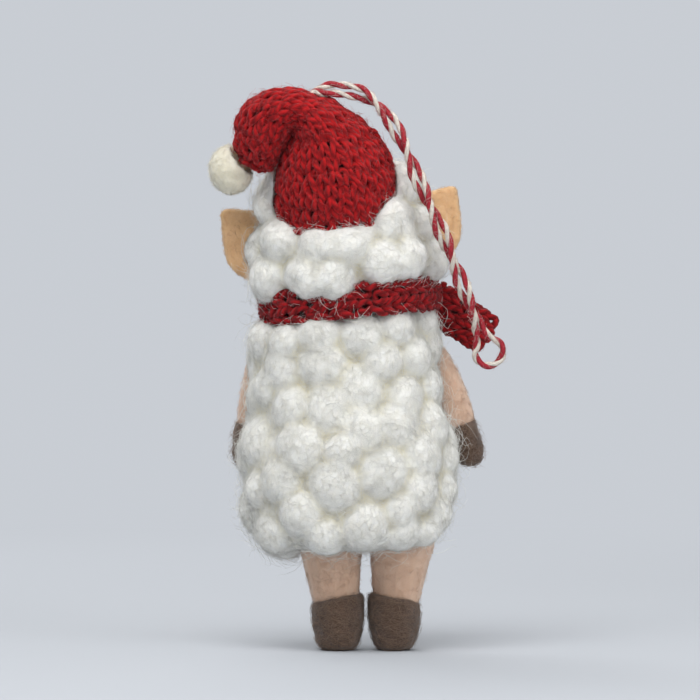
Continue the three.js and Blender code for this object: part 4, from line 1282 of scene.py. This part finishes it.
class EndShape:
    """One face of a free end of the scarf: a flat strip that hangs from its root."""

    def __init__(self, joint_name, down, out, reach):
        self.root = np.array(JOINTS[joint_name]["pos_m"])
        self.down = unit(np.array(down, float))
        self.out = unit(np.array(out, float))
        self.side = np.cross(self.down, self.out)
        self.reach = reach

    def place(self, across, along):
        """Points of the face, shares of its width and of its length, and their normals."""
        sideways = (across - 0.5)[:, None] * END_WIDTH * self.side
        proud = (END_PROUD - END_CURL * (2 * across - 1) ** 2)[:, None] * self.out
        points = self.root + sideways + along[:, None] * self.reach * self.down + proud
        return points, np.broadcast_to(self.out, points.shape)


class ORNAMENT_OT_scarf(bpy.types.Operator):
    """Knits the scarf: its band, its knot and its two ends"""

    bl_idname = "ornament.scarf"
    bl_label = "Scarf"

    def execute(self, context):
        knit = context.scene.ornament_knit
        # The scarf's yarn is painted darker than the hat's, as painted shade for where it lies between the
        # bobbles
        red = spun_wool("scarf spun wool in painted shade", knit.scarf_red_in_shade, knit.scarf_streaks_and_shade)
        makings = (knit, red, bpy.data.materials["red wool in shade"], np.random.default_rng(SEED + 3))
        self.wrap_band(*makings)
        self.tie_knot(*makings)
        for end in SCARF_ENDS:
            self.hang_end(*end, *makings)
        return {"FINISHED"}

    def lined(self, node, shade, voxel, inset):
        """The shaded cloth behind the stitches, from a CAD node."""
        lining = felted(copied(node, node + "_lining"), voxel, softening=4, lumps=())
        worked(lining, "DISPLACE", mid_level=0, strength=-inset)
        return finish(lining, shade)

    def wrap_band(self, knit, red, shade, rng):
        """The band round the neck."""
        place, step = ScarfShape().place, 1 / SCARF_ROWS
        rows = [k / SCARF_ROWS for k in range(SCARF_ROWS)]
        courses = [course(place, SCARF_STITCHES, row, step, knit.depth, rng) for row in rows]
        band = finish(knitted("scarf_band_knit", courses, knit.yarn), red)
        lining = self.lined("scarf_wrap", shade, voxel=0.5 * MM, inset=0.55 * MM)
        dress(join([band, lining]), "sheep", ("scarf_wrap",))

    def tie_knot(self, knit, red, shade, rng):
        """The knot over the band."""
        place, step = KnotShape().place, 1 / KNOT_ROWS
        rows = [k / KNOT_ROWS for k in range(KNOT_ROWS)]
        courses = [course(place, KNOT_STITCHES, row, step, knit.depth, rng) for row in rows]
        knot = finish(knitted("scarf_knot_knit", courses, knit.yarn), red)
        lining = self.lined("scarf_knot", shade, voxel=0.4 * MM, inset=0.6 * MM)
        dress(join([knot, lining]), "sheep", ("scarf_knot",))

    def hang_end(self, node, joint_name, down, reach, count, knit, red, shade, rng):
        """One free end, knitted on both faces in a count of rows."""
        step = 1 / count
        rows = [(k + END_START) * step for k in range(count)]
        pieces = []
        for out in ((0, 1, 0), (0, -1, 0)):
            place = EndShape(joint_name, down, out, reach).place
            courses = [course(place, END_STITCHES, row, step, knit.depth, rng) for row in rows]
            pieces.append(finish(knitted(node + "_knit", courses, knit.yarn), red))
        pieces.append(self.lined(node, shade, voxel=0.4 * MM, inset=0.8 * MM))
        dress(join(pieces), node, (node,))


# Twine
def loop_line():
    """The whole route of the twine: out of the hat, down one strand, round the open end and back up."""
    bend = np.array(JOINTS["loop_swing"]["pos_m"])
    run = even_line(bend + np.array(LOOP_RUN) * MM, RUN_POINTS)
    ahead = unit(np.gradient(run, axis=0))
    across = unit(np.cross(np.array([0, 1, 0]), ahead))
    angle = (np.linspace(0, LOOP_TURNS, len(run)) * 2 * np.pi)[:, None]
    side = across * np.cos(angle) + np.array([0, 1, 0]) * np.sin(angle)
    strands = [run + sign * STRAND_PARTING / 2 * side for sign in (1, -1)]
    opening = math.asin(STRAND_PARTING / 2 / EYE_OPENING)
    middle = run[-1] + ahead[-1] * (EYE_OPENING * math.cos(opening) + EYE_DROP)
    turns = np.linspace(opening + EYE_EASE, 2 * math.pi - opening - EYE_EASE, EYE_POINTS)[:, None]
    sense = np.sign(math.cos(LOOP_TURNS * 2 * math.pi))
    eye = middle - ahead[-1] * np.cos(turns) * EYE_OPENING + across[-1] * sense * np.sin(turns) * EYE_OPENING
    # Every sixth point of a strand is enough, and none is needed where the twine bends over
    down, up = strands[0][3::6], strands[1][::-1][:-3:6]
    out_of_hat, into_hat = (bend + np.array(points) * MM for points in (OUT_OF_HAT, INTO_HAT))
    return even_line(np.concatenate([out_of_hat, down, eye, up, into_hat[::-1]]), LINE_POINTS)


def stitch_line():
    """A short stitch over the knitting beside the loop."""
    bend = np.array(JOINTS["loop_swing"]["pos_m"])
    return even_line(bend + np.array(HANGER_STITCH) * MM, STITCH_POINTS)


def plies(name, line, twine, materials):
    """Two plies twisted round each other along a line."""
    run = np.concatenate([[0], np.cumsum(np.linalg.norm(np.diff(line, axis=0), axis=1))])
    across, over = (frames[0] for frames in carried_frames(line[None]))
    made = []
    for k, (material, share) in enumerate(zip(materials, PLY_SHARES)):
        angle = (2 * np.pi * run / twine.pitch + k * np.pi)[:, None]
        path = line + (0.5 - share) * twine.thickness * (across * np.cos(angle) + over * np.sin(angle))
        made.append(finish(tubes(name, path[None], share * twine.thickness, PLY_SIDES), material))
    return join(made)


def swing_loop(piece):
    """Bakes the placing of a piece of the twine into its mesh."""
    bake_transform(piece)


class ORNAMENT_OT_hanging_loop(bpy.types.Operator):
    """Twists the hanging loop from a red and a white ply and sews it to the hat"""

    bl_idname = "ornament.hanging_loop"
    bl_label = "Hanging loop"

    def execute(self, context):
        twine = context.scene.ornament_twine
        materials = [spun_cotton("red spun cotton", twine.red), spun_cotton("white spun cotton", twine.white)]
        line = loop_line()
        loop = plies("hanging_loop_twine", line, twine, materials)
        swing_loop(loop)
        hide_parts("hanging_cord")
        stitch = plies("hanger_stitch_twine", stitch_line(), twine, materials)
        dress(stitch, "sheep", ("hanger_stitch",))
        return {"FINISHED"}


# Fibres over all the wool
class ORNAMENT_OT_fuzz(bpy.types.Operator):
    """Teases loose fibres out of the wool"""

    bl_idname = "ornament.fuzz"
    bl_label = "Loose fibres"

    def execute(self, context):
        fleece = context.scene.ornament_fleece
        felt = context.scene.ornament_felt
        knit = context.scene.ornament_knit
        white = (loose_fibre("white wool fibre", fleece.wool), "fleece_wool")
        tan = (loose_fibre("tan wool fibre", felt.skin), "tan_wool")
        brown = (loose_fibre("brown wool fibre", felt.hoof_fibre), "brown_wool")
        gold = (loose_fibre("ear wool fibre", felt.ear), "ear_felt")
        red = (loose_fibre("red wool fibre", knit.red), "red_knit")
        # The scarf's loose fibres carry the same painted shade as its yarn
        scarf_fibre_in_shade = (loose_fibre("scarf wool fibre in painted shade", knit.scarf_red_in_shade), "red_knit")
        cream = (loose_fibre("cream wool fibre", felt.ball), "pompom_felt")
        cotton = (loose_fibre("cotton fibre", context.scene.ornament_twine.fibre), "cotton_twine")
        body, head = fleece.fibres, fleece.head_fibres
        # What each layer grows on, its name, how many fibres, their reach and rise in mm, steps and wool
        layers = [
            ("body_fleece_wool", "body_nap_a", body, 1.5, 0.6, 2, white),
            ("body_fleece_wool", "body_nap_b", body, 1.8, 0.8, 2, white),
            ("body_fleece_wool", "body_nap_c", body, 2.2, 1.0, 2, white),
            ("body_fleece_wool", "body_nap_d", body, 2.6, 1.2, 2, white),
            ("body_fleece_wool", "body_wisps", body // 2, 6.0, 3.2, 5, white),
            ("head_fleece_wool", "head_nap_a", head, 1.8, 0.8, 2, white),
            ("head_fleece_wool", "head_nap_b", head, 2.6, 1.2, 2, white),
            ("head_fleece_wool", "head_wisps", head // 2, 6.0, 3.0, 5, white),
            ("body_fleece_wool", "body_curls", 900, 9.0, 4.5, 8, white),
            ("head_fleece_wool", "head_curls", 600, 9.0, 4.0, 8, white),
            ("scarf_band_knit", "scarf_band_wisps", 60, 7.0, 0.8, 9, white),
            ("hat_crown_knit", "hat_crown_fuzz", 3600, 2.8, 1.6, 3, red),
            ("hat_tail_knit", "hat_tail_fuzz", 2000, 2.8, 1.6, 3, red),
            ("scarf_band_knit", "scarf_band_fuzz", 1600, 2.2, 0.9, 3, scarf_fibre_in_shade),
            ("scarf_side_end_knit", "scarf_side_end_fuzz", 260, 2.6, 1.0, 4, scarf_fibre_in_shade),
            ("scarf_front_end_knit", "scarf_front_end_fuzz", 400, 2.6, 1.0, 4, scarf_fibre_in_shade),
            ("scarf_knot_knit", "scarf_knot_fuzz", 260, 2.6, 1.0, 4, scarf_fibre_in_shade),
            ("hat_ball_wool", "hat_ball_fuzz", 1600, 1.6, 0.7, 3, cream),
            ("hanging_loop_twine", "hanging_loop_fuzz", 1200, 1.6, 0.7, 3, cotton),
            ("face_wool", "face_fuzz", 900, 2.0, 0.5, 4, tan),
        ]
        for side in SIDES:
            layers += [
                (f"ear_{side}_felt", f"ear_{side}_fuzz", 1200, 1.2, 0.5, 3, gold),
                (f"arm_{side}_wool", f"arm_{side}_fuzz", 1200, 1.8, 0.6, 3, tan),
                (f"leg_{side}_wool", f"leg_{side}_fuzz", 1500, 1.8, 0.6, 3, tan),
                (f"hand_hoof_{side}_wool", f"hand_hoof_{side}_fuzz", 900, 3.6, 1.4, 4, brown),
                (f"foot_hoof_{side}_wool", f"foot_hoof_{side}_fuzz", 1300, 4.4, 0.8, 4, brown),
            ]
        for seed, (source, name, count, reach, rise, segments, (material, slot)) in enumerate(layers):
            piece = bpy.data.objects[source]
            wound = "hoof" in name
            thickness = CURL if "curls" in name else FIBRE
            fuzz = fibres(name, piece, count, reach * MM, rise * MM, thickness, seed, segments, wound)
            finish(fuzz, material)
            if source == "hat_tail_knit":
                hang_tail(fuzz)
            elif source == "hanging_loop_twine":
                swing_loop(fuzz)
            else:
                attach(fuzz, piece["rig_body"])
        return {"FINISHED"}


# Stage
class ORNAMENT_OT_stage(bpy.types.Operator):
    """Sets the pale paper sweep, the soft lamps and the camera behind the sheep"""

    bl_idname = "ornament.stage"
    bl_label = "Stage"

    def execute(self, context):
        stage = context.scene.ornament_stage
        self.lay_paper(stage)
        for lamp in LAMPS:
            self.hang_lamp(*lamp)
        world = bpy.data.worlds.new("soft room light")
        world.use_nodes = True
        background = world.node_tree.nodes["Background"]
        background.inputs["Color"].default_value = stage.room
        background.inputs["Strength"].default_value = ROOM_LIGHT
        context.scene.world = world
        context.scene.view_settings.view_transform = "Standard"
        camera = bpy.data.objects.new("camera", bpy.data.cameras.new("camera"))
        context.scene.collection.objects.link(camera)
        camera.data.sensor_width = SENSOR
        camera.data.lens = SENSOR * stage.distance / stage.field
        camera.location = (CAMERA_ACROSS, stage.distance, CAMERA_HEIGHT)
        camera.rotation_euler = Euler((math.pi / 2, 0, math.pi))
        context.scene.camera = camera
        return {"FINISHED"}

    def lay_paper(self, stage):
        """A round sheet of paper that curves up all round."""
        bpy.ops.object.select_all(action="DESELECT")
        bpy.ops.mesh.primitive_circle_add(vertices=96, radius=PAPER_RADIUS, fill_type="NGON")
        paper = bpy.context.object
        paper.name = "paper_sweep"
        bpy.ops.object.mode_set(mode="EDIT")
        bpy.ops.mesh.select_all(action="SELECT")
        bpy.ops.mesh.region_to_loop()
        radius, height = PAPER_RADIUS, 0.0
        for k in range(1, PAPER_STEPS + 1):
            angle = math.pi / 2 * k / PAPER_STEPS
            wider = PAPER_RADIUS + PAPER_BEND * math.sin(angle)
            higher = PAPER_BEND * (1 - math.cos(angle))
            bpy.ops.mesh.extrude_edges_move(TRANSFORM_OT_translate={"value": (0, 0, higher - height)})
            grow = wider / radius
            bpy.ops.transform.resize(value=(grow, grow, 1), center_override=(0, 0, 0))
            radius, height = wider, higher
        bpy.ops.mesh.extrude_edges_move(TRANSFORM_OT_translate={"value": (0, 0, PAPER_WALL)})
        bpy.ops.object.mode_set(mode="OBJECT")
        bpy.ops.object.shade_smooth()
        finish(paper, backdrop_paper("matt background paper", stage.floor))

    def hang_lamp(self, name, place, size, power):
        """A square soft lamp that faces the ornament."""
        lamp = bpy.data.objects.new(name, bpy.data.lights.new(name, "AREA"))
        bpy.context.scene.collection.objects.link(lamp)
        lamp.data.size = size
        lamp.data.energy = power
        lamp.location = place
        lamp.rotation_euler = (Vector(place) - Vector(LAMP_AIM)).to_track_quat("Z", "Y").to_euler()


# Panel and registering
class ORNAMENT_PT_panel(bpy.types.Panel):
    """The ornament's making, in order"""

    bl_label = "Felt sheep ornament"
    bl_idname = "ORNAMENT_PT_panel"
    bl_space_type = "VIEW_3D"
    bl_region_type = "UI"
    bl_category = "Ornament"

    def draw(self, context):
        for step in STEPS:
            self.layout.operator(step.bl_idname)
        for name in SETTINGS:
            group = getattr(context.scene, name)
            for prop in group.__annotations__:
                self.layout.prop(group, prop)


STEPS = (
    ORNAMENT_OT_stage,
    ORNAMENT_OT_hanging_loop,
    ORNAMENT_OT_body_fleece,
    ORNAMENT_OT_head_fleece,
    ORNAMENT_OT_limbs,
    ORNAMENT_OT_ears,
    ORNAMENT_OT_face,
    ORNAMENT_OT_hat,
    ORNAMENT_OT_scarf,
    ORNAMENT_OT_fuzz,
)
SETTINGS = {
    "ornament_fleece": FleeceSettings,
    "ornament_felt": FeltSettings,
    "ornament_knit": KnitSettings,
    "ornament_twine": TwineSettings,
    "ornament_stage": StageSettings,
}


def register():
    """Registers the classes and puts their settings on the scene."""
    for kind in (*SETTINGS.values(), *STEPS, ORNAMENT_PT_panel):
        bpy.utils.register_class(kind)
    for name, kind in SETTINGS.items():
        setattr(bpy.types.Scene, name, PointerProperty(type=kind))


def unregister():
    """Undoes what register does."""
    for name in SETTINGS:
        delattr(bpy.types.Scene, name)
    for kind in reversed((*SETTINGS.values(), *STEPS, ORNAMENT_PT_panel)):
        bpy.utils.unregister_class(kind)


def main():
    register()
    bpy.ops.ornament.stage()
    bpy.ops.ornament.hanging_loop()
    bpy.ops.ornament.body_fleece()
    bpy.ops.ornament.head_fleece()
    bpy.ops.ornament.limbs()
    bpy.ops.ornament.ears()
    bpy.ops.ornament.face()
    bpy.ops.ornament.hat()
    bpy.ops.ornament.scarf()
    bpy.ops.ornament.fuzz()


if __name__ == "__main__":
    main()
